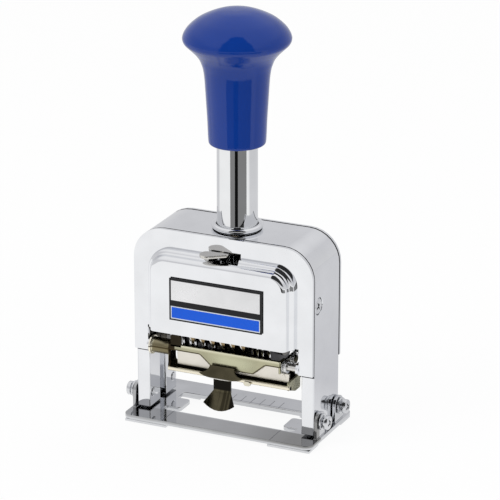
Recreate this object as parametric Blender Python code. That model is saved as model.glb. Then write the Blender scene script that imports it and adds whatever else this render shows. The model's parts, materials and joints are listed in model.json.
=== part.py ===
# Hand numbering machine with six number wheels, an inking carrier and a plunger handle.
# Metres, +Z up. X runs along the wheel axle, -Y is the front, and Z = 0 is the paper.
# The origin is on the paper, under the plunger's axis.

import math

import bmesh
import bpy
from mathutils import Matrix, Vector

for old in list(bpy.data.objects):
    bpy.data.objects.remove(old, do_unlink=True)

# Shared clearances and fineness
SEAT_GAP = 0.0003
RUN_GAP = 0.0001
PIN_GAP = 0.00015
OVERRUN = 0.001
ROUND_STEPS = 40
SMALL_STEPS = 20
FINE_ARC = 8
COARSE_ARC = 4
TURN = 2 * math.pi

# Base plate and its feet
BASE_WIDTH = 0.0702
BASE_DEPTH = 0.0364
BASE_THICKNESS = 0.0015
BASE_CORNER = 0.003
FOOT_THICKNESS = 0.0009
FOOT_LENGTH = 0.0155
FOOT_WIDTH = 0.0078
FOOT_INSET = 0.0007
OPENING_MARGIN = 0.0085
OPENING_DEPTH = 0.0165
OPENING_CORNER = 0.0015
TONGUE_LENGTH = 0.0053
TONGUE_WIDTH = 0.0083
TONGUE_FORWARD = 0.0012
TONGUE_CORNER = 0.0012
LUG_THICKNESS = 0.0012
LUG_WIDTH = 0.0068
LUG_SPACING = 0.0156
SCREW_HEIGHT = 0.0081

# Frame: side walls, top and legs
BASE_MARGIN = 0.0021
HOUSING_DEPTH = 0.024
HOUSING_TOP = 0.0697
HOUSING_CORNER = 0.011
LEG_GAP = 0.0006
LEG_THICKNESS = 0.0047
ROOF_THICKNESS = 0.0035
ROOF_CORNER = 0.007
GROOVE_WIDTH = 0.0044
GROOVE_DEPTH = 0.0025
GROOVE_TOP = 0.055

# Covers
COVER_THICKNESS = 0.0014
COVER_BOTTOM_DROP = 0.0058
COVER_WALL = 0.0012
MOUTH_MARGIN = 0.005
PANEL_MARGIN = 0.006
PANEL_BOTTOM_RISE = 0.0035
PANEL_TOP = 0.0635
PANEL_CORNER = 0.008
PANEL_PROUD = 0.005
PANEL_INSET = 0.0034
PANEL_INSET_SHARES = (0.0, 0.0, 0.12, 0.34, 0.46, 0.56, 0.74, 1.0)
PANEL_PROUD_SHARES = (-0.2, 0.24, 0.38, 0.44, 0.52, 0.72, 0.9, 1.0)
SELECTOR_SLOT_LEFT = -0.004
SELECTOR_SLOT_RIGHT = 0.0066
SELECTOR_SLOT_BOTTOM = 0.0619
SELECTOR_SLOT_TOP = 0.0651
TAB_THICKNESS = 0.0009
TAB_HEIGHT = 0.006
TAB_REACH = 0.0074
COVER_SCREW_HEIGHT = 0.0489
COVER_SCREW_SETBACK = 0.0053
COVER_SCREW_HEAD_RADIUS = 0.0027
COVER_SCREW_HEAD_THICKNESS = 0.0012
COVER_SCREW_RADIUS = 0.0014
EAR_THICKNESS = 0.0008
EAR_RADIUS = 0.0022
EAR_REACH = 0.005

# Label plate
LABEL_WIDTH = 0.0341
LABEL_BOTTOM = 0.04
LABEL_TOP = 0.055
LABEL_THICKNESS = 0.0005

# Base screws
SCREW_RADIUS = 0.00125
SCREW_HEAD_RADIUS = 0.0024
SCREW_HEAD_HEIGHT = 0.0021
WASHER_RADIUS = 0.0029
WASHER_THICKNESS = 0.0007

# Plunger, guide and knob
TUBE_RADIUS = 0.0069
TUBE_BORE_RADIUS = 0.0055
TUBE_TOP = 0.118
TUBE_FOOT_RING = 0.0015
BUSH_WALL = 0.001
BUSH_LENGTH = 0.012
RING_RADIUS = 0.0088
RING_HEIGHT = 0.0017
RING_ROUND = 0.0006
STROKE = 0.0212
KNOB_BOTTOM = 0.0996
KNOB_HEIGHT = 0.0461
KNOB_RADIUS = 0.0182
KNOB_RADIUS_SHARES = (0.5, 0.525, 0.532, 0.538, 0.549, 0.566, 0.582, 0.596, 0.619, 0.651, 0.693, 0.777,
                      0.89, 0.975, 1.0, 0.992, 0.964, 0.916, 0.835, 0.731, 0.611, 0.475, 0.324, 0.154)
KNOB_HEIGHT_SHARES = (0.0, 0.0076, 0.0217, 0.0738, 0.1822, 0.2907, 0.3991, 0.4859, 0.551, 0.5944,
                      0.6377, 0.6811, 0.7245, 0.757, 0.7831, 0.8048, 0.8265, 0.8547, 0.8872, 0.9197,
                      0.9458, 0.9696, 0.9892, 0.9989)

# Return spring inside the tube
PIN_RADIUS = 0.0012
PIN_CLEARANCE = 0.0002
PIN_SEAT_DEPTH = 0.0012
PIN_RISE = 0.0032
SPRING_RADIUS = 0.0044
SPRING_WIRE_RADIUS = 0.00055
SPRING_TURNS = 13
SPRING_POINTS_PER_TURN = 10
SPRING_DEAD_TURNS = 1
SPRING_SEAT_THICKNESS = 0.001
SPRING_SEAT_BORE_RADIUS = 0.0015
SPRING_CAP_HEIGHT = 0.0077

# Carriage that carries the wheels
AXLE_HEIGHT = 0.031
AXLE_RADIUS = 0.0025
CARRIAGE_RISE = 0.012
CARRIAGE_DECK = 0.0022
CARRIAGE_WALL = 0.002
CARRIAGE_DEPTH = 0.0076
CARRIAGE_FOOT = 0.006
CARRIAGE_SIDE_GAP = 0.0014
CARRIAGE_HORN_REACH = 0.007
CARRIAGE_HORN_RISE = 0.0065
CARRIAGE_PAD_RADIUS = 0.008
RIB_CLEARANCE = 0.0003
CLIP_RADIUS = 0.004
CLIP_THICKNESS = 0.0004

# Number wheels
WHEEL_COUNT = 6
WHEEL_PITCH = 0.0036
WHEEL_RADIUS = 0.0096
WHEEL_VALLEY_RADIUS = 0.0089
FIGURES = 10
FIGURE_ARC_SHARE = 0.76
VALLEY_ARC_SHARE = 0.9
TYPE_WIDTH = 0.0024
RATCHET_RADIUS = 0.0078
RATCHET_ROOT_RADIUS = 0.0069
SPACER_RADIUS = 0.0094
SPACER_GROOVE_RADIUS = 0.0082
SPACER_REACH_SHARE = 0.423
SPACER_RIDGE_SHARES = (0.0, 0.26, 0.37, 0.63, 0.74, 1.0)

# Detent comb in front of the wheels
COMB_THICKNESS = 0.0005
COMB_CLEARANCE = 0.0004
COMB_ROD_RADIUS = 0.001
COMB_ROD_ANGLE = math.radians(118)
COMB_START_ANGLE = math.radians(125.5)
COMB_BAND_END_ANGLE = math.radians(150)
COMB_TOOTH_END_ANGLE = math.radians(172)
COMB_TOOTH_WIDTH = 0.0015
COMB_END_TEETH = 2

# Pawl yoke that steps the wheels
YOKE_ARM = 0.001
YOKE_HUB_RADIUS = 0.0043
YOKE_ANGLE = math.radians(70)
YOKE_END_RADIUS = 0.0012
PAWL_ROD_RADIUS = 0.001
PAWL_THICKNESS = 0.0008
PAWL_BACK_WIDTH = 0.0014
PAWL_FINGER_WIDTH = 0.0006
PAWL_TIP_GAP = 0.00025

# Ink carrier and its hinge
PIVOT_Y = -0.011
PIVOT_DROP = 0.0038
HINGE_PIN_RADIUS = 0.0013
BARREL_RADIUS = 0.0027
FLANGE_RADIUS = 0.0034
FLANGE_THICKNESS = 0.0008
SHEET = 0.0008
CARRIER_LEFT_MARGIN = 0.013
CARRIER_ARM_MARGIN = 0.0112
CARRIER_RIGHT_MARGIN = 0.0078
CARRIER_FRONT = -0.0134
CARRIER_REAR = 0.0086
CARRIER_TOP_DROP = 0.0016
CARRIER_BOTTOM_DROP = 0.0134
CARRIER_REAR_TOP_DROP = 0.0108
CARRIER_BOTTOM_START = -0.008
ARM_NOTCH_REAR = -0.01
ARM_NOTCH_TOP_DROP = 0.0061
WINDOW_TOP_DROP = 0.0038
TONGUE_BOTTOM_DROP = 0.0077
TONGUE_LEFT = -0.008
TONGUE_RIGHT = 0.0165
TONGUE_SLOPE = 0.0046
LIP_BOTTOM_DROP = 0.0113
LIP_TOP_DROP = 0.01
LIP_DEPTH = 0.0018
LIP_FLOOR = 0.0006
END_WALL_TOP_DROP = 0.0084
END_WALL_REAR = -0.004
RAIL_WIDTH = 0.0027
LINK_THICKNESS = 0.001
LINK_BOSS_HEIGHT = 0.0007
LINK_PIVOT_RADIUS = 0.0023
LINK_END_RADIUS = 0.002
LINK_REACH_Y = 0.0065
LINK_REACH_Z = 0.0007
LINK_PIN_RADIUS = 0.0011

# Ink tray, pad and pull tab
TRAY_FLOOR = 0.0006
TRAY_WALL = 0.0008
TRAY_SIDE_RISE = 0.002
TRAY_LEFT_MARGIN = 0.0156
TRAY_FRONT = -0.0111
TRAY_FRONT_TOP_DROP = 0.0047
TRAY_STEP_TOP_DROP = 0.0064
PAD_INK_GAP = 0.0007
TAB_CENTRE = 0.0009
LEAF_HALF_WIDTH = 0.008
LEAF_TOP_DROP = 0.0063
LEAF_TOP_Y = -0.0145
LEAF_LOW_DROP = 0.0104
LEAF_LOW_Y = -0.0164
LEAF_TOP_HALF_WIDTH = 0.0045
LEAF_WIDEST_SHARE = 0.36
LEAF_THICKNESS = 0.0007
NECK_WIDTH = 0.0064
NECK_FRONT = -0.0145
NECK_LOW_DROP = 0.0148
FAN_LOW_DROP = 0.0212
FAN_LOW_HALF_WIDTH = 0.0057
FAN_HIGH_HALF_WIDTH = 0.0029
FAN_LOW_Y = -0.0176
FAN_BULGE = 0.0008
FAN_CORNER_RISE = 0.0022
CLIP_LEFT = 0.0088
CLIP_WIDTH = 0.0026
CLIP_HEIGHT = 0.0016
CLIP_TOP_DROP = 0.0102

# Repeat selector lever
SELECTOR_THICKNESS = 0.001
SELECTOR_HUB_RADIUS = 0.0102
SELECTOR_ELBOW_RADIUS = 0.0014
SELECTOR_ELBOW = (0.0015, -0.0129)
SELECTOR_TIP = (-0.0039, -0.0155)
SELECTOR_TIP_RADIUS = 0.0026
SELECTOR_SLOT_GAP = 0.0003
SELECTOR_CLIP_RADIUS = 0.0094
SELECTOR_CLIP_THICKNESS = 0.0006

# Places worked out from the sizes above
pivot_height = AXLE_HEIGHT - PIVOT_DROP
carrier_top = AXLE_HEIGHT - CARRIER_TOP_DROP
carrier_bottom = AXLE_HEIGHT - CARRIER_BOTTOM_DROP
carrier_rear_top = AXLE_HEIGHT - CARRIER_REAR_TOP_DROP
arm_notch_top = AXLE_HEIGHT - ARM_NOTCH_TOP_DROP
window_top = AXLE_HEIGHT - WINDOW_TOP_DROP
tongue_bottom = AXLE_HEIGHT - TONGUE_BOTTOM_DROP
lip_bottom = AXLE_HEIGHT - LIP_BOTTOM_DROP
lip_top = AXLE_HEIGHT - LIP_TOP_DROP
end_wall_top = AXLE_HEIGHT - END_WALL_TOP_DROP
tray_front_top = AXLE_HEIGHT - TRAY_FRONT_TOP_DROP
tray_step_top = AXLE_HEIGHT - TRAY_STEP_TOP_DROP
leaf_top_height = AXLE_HEIGHT - LEAF_TOP_DROP
leaf_low_height = AXLE_HEIGHT - LEAF_LOW_DROP
neck_low_height = AXLE_HEIGHT - NECK_LOW_DROP
fan_low_height = AXLE_HEIGHT - FAN_LOW_DROP
clip_top = AXLE_HEIGHT - CLIP_TOP_DROP
cover_bottom = AXLE_HEIGHT - COVER_BOTTOM_DROP
panel_bottom = AXLE_HEIGHT + PANEL_BOTTOM_RISE
base_bottom = FOOT_THICKNESS + SEAT_GAP
base_top = base_bottom + BASE_THICKNESS
leg_bottom = base_top + LEG_GAP
half_width = BASE_WIDTH / 2 - BASE_MARGIN
cover_face = -HOUSING_DEPTH / 2
cover_inside = cover_face + COVER_THICKNESS
frame_front = cover_inside + SEAT_GAP
leg_inside = half_width - LEG_THICKNESS
roof_under = HOUSING_TOP - ROOF_THICKNESS
cover_screw_head_in = half_width - COVER_SCREW_HEAD_THICKNESS
lug_inside = half_width + SEAT_GAP
lug_outside = lug_inside + LUG_THICKNESS
panel_face = cover_face - PANEL_PROUD
mouth_half = half_width - MOUTH_MARGIN
panel_half = half_width - PANEL_MARGIN
deck_under = AXLE_HEIGHT + CARRIAGE_RISE
deck_top = deck_under + CARRIAGE_DECK
carriage_outside = leg_inside - CARRIAGE_SIDE_GAP
carriage_inside = carriage_outside - CARRIAGE_WALL
carriage_bottom = AXLE_HEIGHT - CARRIAGE_FOOT
tube_bottom = deck_top + SEAT_GAP
pin_height = deck_top + PIN_RISE
seat_bottom = pin_height + PIN_RADIUS + SEAT_GAP
spring_bottom = seat_bottom + SPRING_SEAT_THICKNESS + SEAT_GAP
cap_bottom = TUBE_TOP - SEAT_GAP - SPRING_CAP_HEIGHT
spring_top = cap_bottom - SEAT_GAP
stack_half = WHEEL_COUNT * WHEEL_PITCH / 2
wheel_thickness = WHEEL_PITCH - SEAT_GAP
spacer_start = stack_half + SEAT_GAP / 2
spacer_width = (carriage_inside - spacer_start) * SPACER_REACH_SHARE
spacer_end = spacer_start + spacer_width
yoke_inside = spacer_end + SEAT_GAP
yoke_outside = yoke_inside + YOKE_ARM
pawl_rod_radius = WHEEL_RADIUS + SEAT_GAP + PAWL_ROD_RADIUS
comb_inner = WHEEL_RADIUS + COMB_CLEARANCE
comb_outer = comb_inner + COMB_THICKNESS
comb_rod_radius = comb_inner + COMB_ROD_RADIUS
pad_top = AXLE_HEIGHT - WHEEL_RADIUS - PAD_INK_GAP
carrier_left = -half_width + CARRIER_LEFT_MARGIN
carrier_arm = half_width - CARRIER_ARM_MARGIN
carrier_right = half_width - CARRIER_RIGHT_MARGIN
tray_bottom = carrier_bottom + SHEET + SEAT_GAP
tray_left = -half_width + TRAY_LEFT_MARGIN
tray_right = carrier_arm - SHEET - SEAT_GAP
selector_top = SELECTOR_SLOT_TOP - SELECTOR_SLOT_GAP
selector_bottom = selector_top - SELECTOR_THICKNESS


# Making shapes
def outline_points(corners, steps=COARSE_ARC):
    """Closed outline from (p, q, radius) corners, each rounded by an arc of its radius."""
    points = []
    count = len(corners)
    for index, (p, q, radius) in enumerate(corners):
        here = Vector((p, q))
        if not radius:
            points.append(here)
            continue
        before = (Vector(corners[index - 1][:2]) - here).normalized()
        after = (Vector(corners[(index + 1) % count][:2]) - here).normalized()
        half_angle = before.angle(after) / 2
        centre = here + (before + after).normalized() * (radius / math.sin(half_angle))
        start = here + before * (radius / math.tan(half_angle)) - centre
        end = here + after * (radius / math.tan(half_angle)) - centre
        sweep = start.angle_signed(end)
        for step in range(steps + 1):
            points.append(centre + Matrix.Rotation(-sweep * step / steps, 2) @ start)
    return [(point.x, point.y) for point in points]


def hull_points(first, first_radius, second, second_radius, steps=FINE_ARC * 2):
    """Outline of a flat link: two round ends joined by their outer tangents."""
    first, second = Vector(first), Vector(second)
    line = second - first
    heading = math.atan2(line.y, line.x)
    lean = math.acos((first_radius - second_radius) / line.length)
    points = []
    for step in range(steps + 1):
        turn = heading + lean + (TURN - 2 * lean) * step / steps
        points.append((first.x + first_radius * math.cos(turn), first.y + first_radius * math.sin(turn)))
    for step in range(steps + 1):
        turn = heading - lean + 2 * lean * step / steps
        points.append((second.x + second_radius * math.cos(turn),
                       second.y + second_radius * math.sin(turn)))
    return points


def on_axis(axis, along, p, q):
    """Point at `along` the axis, with (p, q) on the other two axes in their X, Y, Z order."""
    return {"X": (along, p, q), "Y": (p, along, q), "Z": (p, q, along)}[axis]


def new_object(name, bm):
    """Object from a bmesh, with its faces turned outward."""
    bmesh.ops.recalc_face_normals(bm, faces=bm.faces)
    mesh = bpy.data.meshes.new(name)
    bm.to_mesh(mesh)
    bm.free()
    made = bpy.data.objects.new(name, mesh)
    bpy.context.scene.collection.objects.link(made)
    return made


def prism(name, points, axis, start, end):
    """Outline extruded along an axis."""
    bm = bmesh.new()
    face = bm.faces.new([bm.verts.new(on_axis(axis, start, p, q)) for p, q in points])
    moved = [item for item in bmesh.ops.extrude_face_region(bm, geom=[face])["geom"]
             if isinstance(item, bmesh.types.BMVert)]
    bmesh.ops.translate(bm, verts=moved, vec=on_axis(axis, end - start, 0, 0))
    return new_object(name, bm)


def block(name, x_range, y_range, z_range):
    """Box between two values on each axis."""
    (x0, x1), (y0, y1), (z0, z1) = x_range, y_range, z_range
    return prism(name, [(x0, y0), (x1, y0), (x1, y1), (x0, y1)], "Z", z0, z1)


def turned(name, profile, axis, centre, steps=ROUND_STEPS, closed=False):
    """Profile of (radius, along) points turned round an axis through centre (p, q)."""
    bm = bmesh.new()
    rings = []
    for radius, along in profile:
        count = steps if radius else 1
        rings.append([bm.verts.new(on_axis(axis, along, centre[0] + radius * math.cos(TURN * k / steps),
                                           centre[1] + radius * math.sin(TURN * k / steps)))
                      for k in range(count)])
    pairs = list(zip(rings, rings[1:])) + ([(rings[-1], rings[0])] if closed else [])
    for lower, upper in pairs:
        for k in range(steps):
            corners = [lower[k % len(lower)], lower[(k + 1) % len(lower)],
                       upper[(k + 1) % len(upper)], upper[k % len(upper)]]
            bm.faces.new(list(dict.fromkeys(corners)))
    return new_object(name, bm)


def rod(name, radius, axis, centre, start, end, steps=SMALL_STEPS):
    """Plain round bar along an axis."""
    return turned(name, [(0, start), (radius, start), (radius, end), (0, end)], axis, centre, steps)


def ring(name, outer, bore, axis, centre, start, end, steps=SMALL_STEPS):
    """Round bar with a bore."""
    profile = [(outer, start), (outer, end), (bore, end), (bore, start)]
    return turned(name, profile, axis, centre, steps, closed=True)


def combine(body, tools, operation):
    """Body after a Boolean with each tool; the tools are used up."""
    for tool in tools:
        modifier = body.modifiers.new(operation, "BOOLEAN")
        modifier.operation = operation
        modifier.object = tool
        modifier.solver = "EXACT"
    depsgraph = bpy.context.evaluated_depsgraph_get()
    mesh = bpy.data.meshes.new_from_object(body.evaluated_get(depsgraph))
    body.modifiers.clear()
    body.data = mesh
    for tool in tools:
        bpy.data.objects.remove(tool, do_unlink=True)
    return body


def cut(body, *tools):
    """Body with the tools taken out of it."""
    return combine(body, tools, "DIFFERENCE")


def join(body, *tools):
    """Body and tools as one solid."""
    return combine(body, tools, "UNION")


def finish(body, material, origin=(0, 0, 0)):
    """Give the body its material, smooth round faces and an origin."""
    body.data.materials.clear()
    body.data.materials.append(material)
    body.data.transform(Matrix.Translation(-Vector(origin)))
    body.location = origin
    body.data.shade_smooth()
    body.data.set_sharp_from_angle(angle=math.radians(35))
    return body


def make_material(name, colour, roughness, metallic):
    """Principled material with one colour."""
    material = bpy.data.materials.new(name)
    material.use_nodes = True
    shader = material.node_tree.nodes["Principled BSDF"]
    shader.inputs["Base Color"].default_value = (*colour, 1)
    shader.inputs["Roughness"].default_value = roughness
    shader.inputs["Metallic"].default_value = metallic
    return material


chrome = make_material("chrome", (0.78, 0.79, 0.82), 0.08, 1.0)
bright_steel = make_material("bright steel", (0.66, 0.67, 0.69), 0.22, 1.0)
nickel = make_material("nickel", (0.68, 0.66, 0.6), 0.2, 1.0)
yellow_zinc = make_material("yellow zinc", (0.62, 0.55, 0.36), 0.3, 1.0)
dark_brass = make_material("dark brass", (0.3, 0.24, 0.12), 0.3, 1.0)
brass = make_material("brass", (0.66, 0.48, 0.24), 0.28, 1.0)
blackened_steel = make_material("blackened steel", (0.05, 0.05, 0.055), 0.4, 1.0)
spring_steel = make_material("spring steel", (0.4, 0.41, 0.43), 0.3, 1.0)
blue_plastic = make_material("blue plastic", (0.01, 0.07, 0.5), 0.12, 0.0)
label_print = make_material("label print", (0.5, 0.52, 0.56), 0.35, 0.3)
ink_felt = make_material("ink felt", (0.02, 0.02, 0.03), 0.9, 0.0)


# Base plate: flat plate with a print opening, two tongues and four upturned lugs
def base_outline():
    half_x, half_y = half_width - OPENING_MARGIN, OPENING_DEPTH / 2
    tip = half_x - TONGUE_LENGTH
    front, rear = -TONGUE_WIDTH / 2 - TONGUE_FORWARD, TONGUE_WIDTH / 2 - TONGUE_FORWARD
    right = [(half_x, -half_y, OPENING_CORNER), (half_x, front, 0), (tip, front, TONGUE_CORNER),
             (tip, rear, TONGUE_CORNER), (half_x, rear, 0), (half_x, half_y, OPENING_CORNER)]
    left = [(-x, y, radius) for x, y, radius in reversed(right)]
    return outline_points(right + left)


def base_plate():
    x, y = BASE_WIDTH / 2, BASE_DEPTH / 2
    corners = [(-x, -y, BASE_CORNER), (x, -y, BASE_CORNER), (x, y, BASE_CORNER), (-x, y, BASE_CORNER)]
    plate = prism("base_plate", outline_points(corners, FINE_ARC), "Z", base_bottom, base_top)
    opening = prism("opening", base_outline(), "Z", base_bottom - OVERRUN, base_top + OVERRUN)
    lugs = []
    holes = []
    round_top = LUG_WIDTH / 2
    for side in (-1, 1):
        for end in (-1, 1):
            middle = end * LUG_SPACING / 2
            top = SCREW_HEIGHT + round_top
            shape = [(middle - round_top, base_bottom, 0), (middle + round_top, base_bottom, 0),
                     (middle + round_top, top, round_top - SEAT_GAP),
                     (middle - round_top, top, round_top - SEAT_GAP)]
            lugs.append(prism("lug", outline_points(shape, FINE_ARC), "X", side * lug_inside,
                              side * lug_outside))
            holes.append(rod("hole", SCREW_RADIUS + PIN_GAP, "X", (middle, SCREW_HEIGHT),
                             side * (lug_inside - OVERRUN), side * (lug_outside + OVERRUN)))
    return finish(cut(join(plate, *lugs), opening, *holes), chrome)


def foot_strips():
    for side, side_name in ((-1, "left"), (1, "right")):
        for end, end_name in ((-1, "front"), (1, "rear")):
            outer_x, outer_y = BASE_WIDTH / 2 - FOOT_INSET, BASE_DEPTH / 2 - FOOT_INSET
            x_range = sorted((side * outer_x, side * (outer_x - FOOT_LENGTH)))
            y_range = sorted((end * outer_y, end * (outer_y - FOOT_WIDTH)))
            strip = block(f"foot_strip_{end_name}_{side_name}", x_range, y_range, (0, FOOT_THICKNESS))
            finish(strip, bright_steel)


def base_screws():
    number = 0
    for side in (-1, 1):
        for end in (-1, 1):
            number += 1
            centre = (end * LUG_SPACING / 2, SCREW_HEIGHT)
            washer_in = lug_outside + SEAT_GAP
            washer_out = washer_in + WASHER_THICKNESS
            head_in = washer_out + SEAT_GAP
            head_out = head_in + SCREW_HEAD_HEIGHT
            washer = ring(f"base_washer_{number}", WASHER_RADIUS, SCREW_RADIUS + PIN_GAP, "X", centre,
                          side * washer_in, side * washer_out)
            finish(washer, bright_steel)
            tip = leg_inside - SEAT_GAP
            dome = SCREW_HEAD_HEIGHT / 2
            profile = [(0, tip), (SCREW_RADIUS, tip), (SCREW_RADIUS, head_in), (SCREW_HEAD_RADIUS, head_in),
                       (SCREW_HEAD_RADIUS, head_out - dome),
                       (SCREW_HEAD_RADIUS - dome / 2, head_out - dome / 4),
                       (SCREW_RADIUS, head_out), (0, head_out)]
            profile = [(radius, side * along) for radius, along in profile]
            finish(turned(f"base_screw_{number}", profile, "X", centre, SMALL_STEPS), bright_steel)


# Frame: an arch of side walls and roof, whose legs guide the carriage in grooves
def frame():
    outer = [(-half_width, leg_bottom, 0), (-half_width, HOUSING_TOP, HOUSING_CORNER),
             (half_width, HOUSING_TOP, HOUSING_CORNER), (half_width, leg_bottom, 0),
             (leg_inside, leg_bottom, 0), (leg_inside, roof_under, ROOF_CORNER),
             (-leg_inside, roof_under, ROOF_CORNER), (-leg_inside, leg_bottom, 0)]
    body = prism("frame", outline_points(outer, FINE_ARC), "Y", frame_front, -frame_front)
    tools = [rod("bore", bush_radius() + SEAT_GAP, "Z", (0, 0), roof_under - OVERRUN,
                 HOUSING_TOP + OVERRUN, ROUND_STEPS)]
    for side in (-1, 1):
        groove = sorted((side * (leg_inside - OVERRUN), side * (leg_inside + GROOVE_DEPTH)))
        tools.append(block("groove", groove, (-GROOVE_WIDTH / 2, GROOVE_WIDTH / 2),
                           (leg_bottom - OVERRUN, GROOVE_TOP)))
        tools.append(rod("pin seat", PIN_RADIUS + PIN_GAP, "X", (0, pin_height),
                         side * (leg_inside + GROOVE_DEPTH - OVERRUN),
                         side * (leg_inside + GROOVE_DEPTH + PIN_SEAT_DEPTH + SEAT_GAP)))
        for end in (-1, 1):
            tools.append(rod("screw hole", SCREW_RADIUS + PIN_GAP, "X", (end * LUG_SPACING / 2, SCREW_HEIGHT),
                             side * (leg_inside - OVERRUN), side * (half_width + OVERRUN)))
        hole, sink = COVER_SCREW_RADIUS + PIN_GAP, COVER_SCREW_HEAD_RADIUS + SEAT_GAP
        near, step, far = leg_inside - OVERRUN, cover_screw_head_in - SEAT_GAP, half_width + OVERRUN
        profile = [(0, near), (hole, near), (hole, step), (sink, step), (sink, far), (0, far)]
        tools.append(turned("cover screw hole", [(radius, side * along) for radius, along in profile], "X",
                            (cover_face + COVER_SCREW_SETBACK, COVER_SCREW_HEIGHT), SMALL_STEPS))
    return finish(cut(body, *tools), chrome)


def bush_radius():
    return TUBE_RADIUS + RUN_GAP + BUSH_WALL


# Covers: plates on the front and the back of the frame
def cover_outline():
    corners = [(-half_width, cover_bottom, 0), (-half_width, HOUSING_TOP, HOUSING_CORNER),
               (half_width, HOUSING_TOP, HOUSING_CORNER), (half_width, cover_bottom, 0)]
    return outline_points(corners, FINE_ARC)


def panel_loft(name, shrink, back, front, low):
    """Stepped and rounded hood, as one loft through rounded outlines."""
    bm = bmesh.new()
    rings = []
    shares = list(zip(PANEL_INSET_SHARES, PANEL_PROUD_SHARES))
    for inset_share, proud_share in shares:
        inset = PANEL_INSET * inset_share + shrink
        y = back - (back - front) * max(proud_share, 0)
        if proud_share < 0:
            y = back + OVERRUN
        x = panel_half - inset
        corners = [(-x, low, 0), (-x, PANEL_TOP - inset, PANEL_CORNER - inset),
                   (x, PANEL_TOP - inset, PANEL_CORNER - inset), (x, low, 0)]
        rings.append([bm.verts.new((p, y, q)) for p, q in outline_points(corners, FINE_ARC)])
    for lower, upper in zip(rings, rings[1:]):
        count = len(lower)
        for k in range(count):
            bm.faces.new([lower[k], lower[(k + 1) % count], upper[(k + 1) % count], upper[k]])
    bm.faces.new(rings[0])
    bm.faces.new(rings[-1])
    return new_object(name, bm)


def front_cover():
    body = prism("front_cover", cover_outline(), "Y", cover_face, cover_inside)
    low = cover_bottom - OVERRUN
    hood = panel_loft("hood", 0, cover_face, panel_face, low)
    pocket = panel_loft("pocket", COVER_WALL, cover_inside + OVERRUN, panel_face + COVER_WALL, low - OVERRUN)
    mouth = block("mouth", (-mouth_half, mouth_half), (panel_face - OVERRUN, cover_inside + OVERRUN),
                  (low - OVERRUN, panel_bottom))
    slot = block("slot", (SELECTOR_SLOT_LEFT, SELECTOR_SLOT_RIGHT),
                 (panel_face - OVERRUN, cover_inside + OVERRUN), (SELECTOR_SLOT_BOTTOM, SELECTOR_SLOT_TOP))
    body = cut(join(body, hood), pocket, mouth, slot)
    additions = []
    holes = []
    for side in (-1, 1):
        outside, inside = mouth_half, mouth_half - EAR_THICKNESS
        ear = prism("ear", hull_points((PIVOT_Y, pivot_height), EAR_RADIUS,
                                       (PIVOT_Y + EAR_REACH, pivot_height),
                                       EAR_RADIUS), "X", side * inside, side * outside)
        web_range = sorted((side * inside, side * (outside + EAR_THICKNESS)))
        web = block("web", web_range, (cover_face, cover_inside),
                    (cover_bottom, pivot_height + EAR_RADIUS))
        tab_range = sorted((side * (mouth_half - TAB_THICKNESS), side * mouth_half))
        tab = block("tab", tab_range, (cover_face + COVER_THICKNESS / 2,
                                       cover_face + COVER_THICKNESS + TAB_REACH),
                    (COVER_SCREW_HEIGHT - TAB_HEIGHT / 2, COVER_SCREW_HEIGHT + TAB_HEIGHT / 2))
        additions += [ear, web, tab]
        holes.append(rod("ear hole", HINGE_PIN_RADIUS + PIN_GAP, "X", (PIVOT_Y, pivot_height),
                         side * (inside - OVERRUN), side * (mouth_half + OVERRUN)))
        holes.append(rod("tab hole", COVER_SCREW_RADIUS + PIN_GAP, "X",
                         (cover_face + COVER_SCREW_SETBACK, COVER_SCREW_HEIGHT),
                         side * (mouth_half - TAB_THICKNESS - OVERRUN), side * (mouth_half + OVERRUN)))
    return finish(cut(join(body, *additions), *holes), chrome)


def back_cover():
    body = prism("back_cover", cover_outline(), "Y", -cover_inside, -cover_face)
    return finish(body, chrome)


def label_plate():
    back = panel_face - SEAT_GAP
    body = block("label_plate", (-LABEL_WIDTH / 2, LABEL_WIDTH / 2), (back - LABEL_THICKNESS, back),
                 (LABEL_BOTTOM, LABEL_TOP))
    return finish(body, label_print)


def cover_screws():
    for side, side_name in ((-1, "left"), (1, "right")):
        tip = mouth_half - TAB_THICKNESS
        profile = [(0, tip), (COVER_SCREW_RADIUS, tip), (COVER_SCREW_RADIUS, cover_screw_head_in),
                   (COVER_SCREW_HEAD_RADIUS, cover_screw_head_in), (COVER_SCREW_HEAD_RADIUS, half_width),
                   (0, half_width)]
        profile = [(radius, side * along) for radius, along in profile]
        screw = turned(f"cover_screw_{side_name}", profile, "X",
                       (cover_face + COVER_SCREW_SETBACK, COVER_SCREW_HEIGHT), SMALL_STEPS)
        finish(screw, bright_steel)


def guide_bush():
    bore = TUBE_RADIUS + RUN_GAP
    ring_bottom = HOUSING_TOP + SEAT_GAP
    ring_top = ring_bottom + RING_HEIGHT
    profile = [(bore, ring_top - BUSH_LENGTH), (bush_radius(), ring_top - BUSH_LENGTH),
               (bush_radius(), ring_bottom), (RING_RADIUS - RING_ROUND, ring_bottom),
               (RING_RADIUS, ring_bottom + RING_ROUND), (RING_RADIUS, ring_top - RING_ROUND),
               (RING_RADIUS - RING_ROUND, ring_top), (bore, ring_top)]
    return finish(turned("guide_bush", profile, "Z", (0, 0), ROUND_STEPS, closed=True), chrome)


# Plunger: knob, slotted tube, and the spring that returns them
def knob():
    bore = TUBE_RADIUS + SEAT_GAP
    profile = [(0, TUBE_TOP + SEAT_GAP), (bore, TUBE_TOP + SEAT_GAP), (bore, KNOB_BOTTOM)]
    profile += [(KNOB_RADIUS * radius, KNOB_BOTTOM + KNOB_HEIGHT * height)
                for radius, height in zip(KNOB_RADIUS_SHARES, KNOB_HEIGHT_SHARES)]
    profile.append((0, KNOB_BOTTOM + KNOB_HEIGHT))
    return finish(turned("knob", profile, "Z", (0, 0)), blue_plastic, (0, 0, KNOB_BOTTOM))


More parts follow.
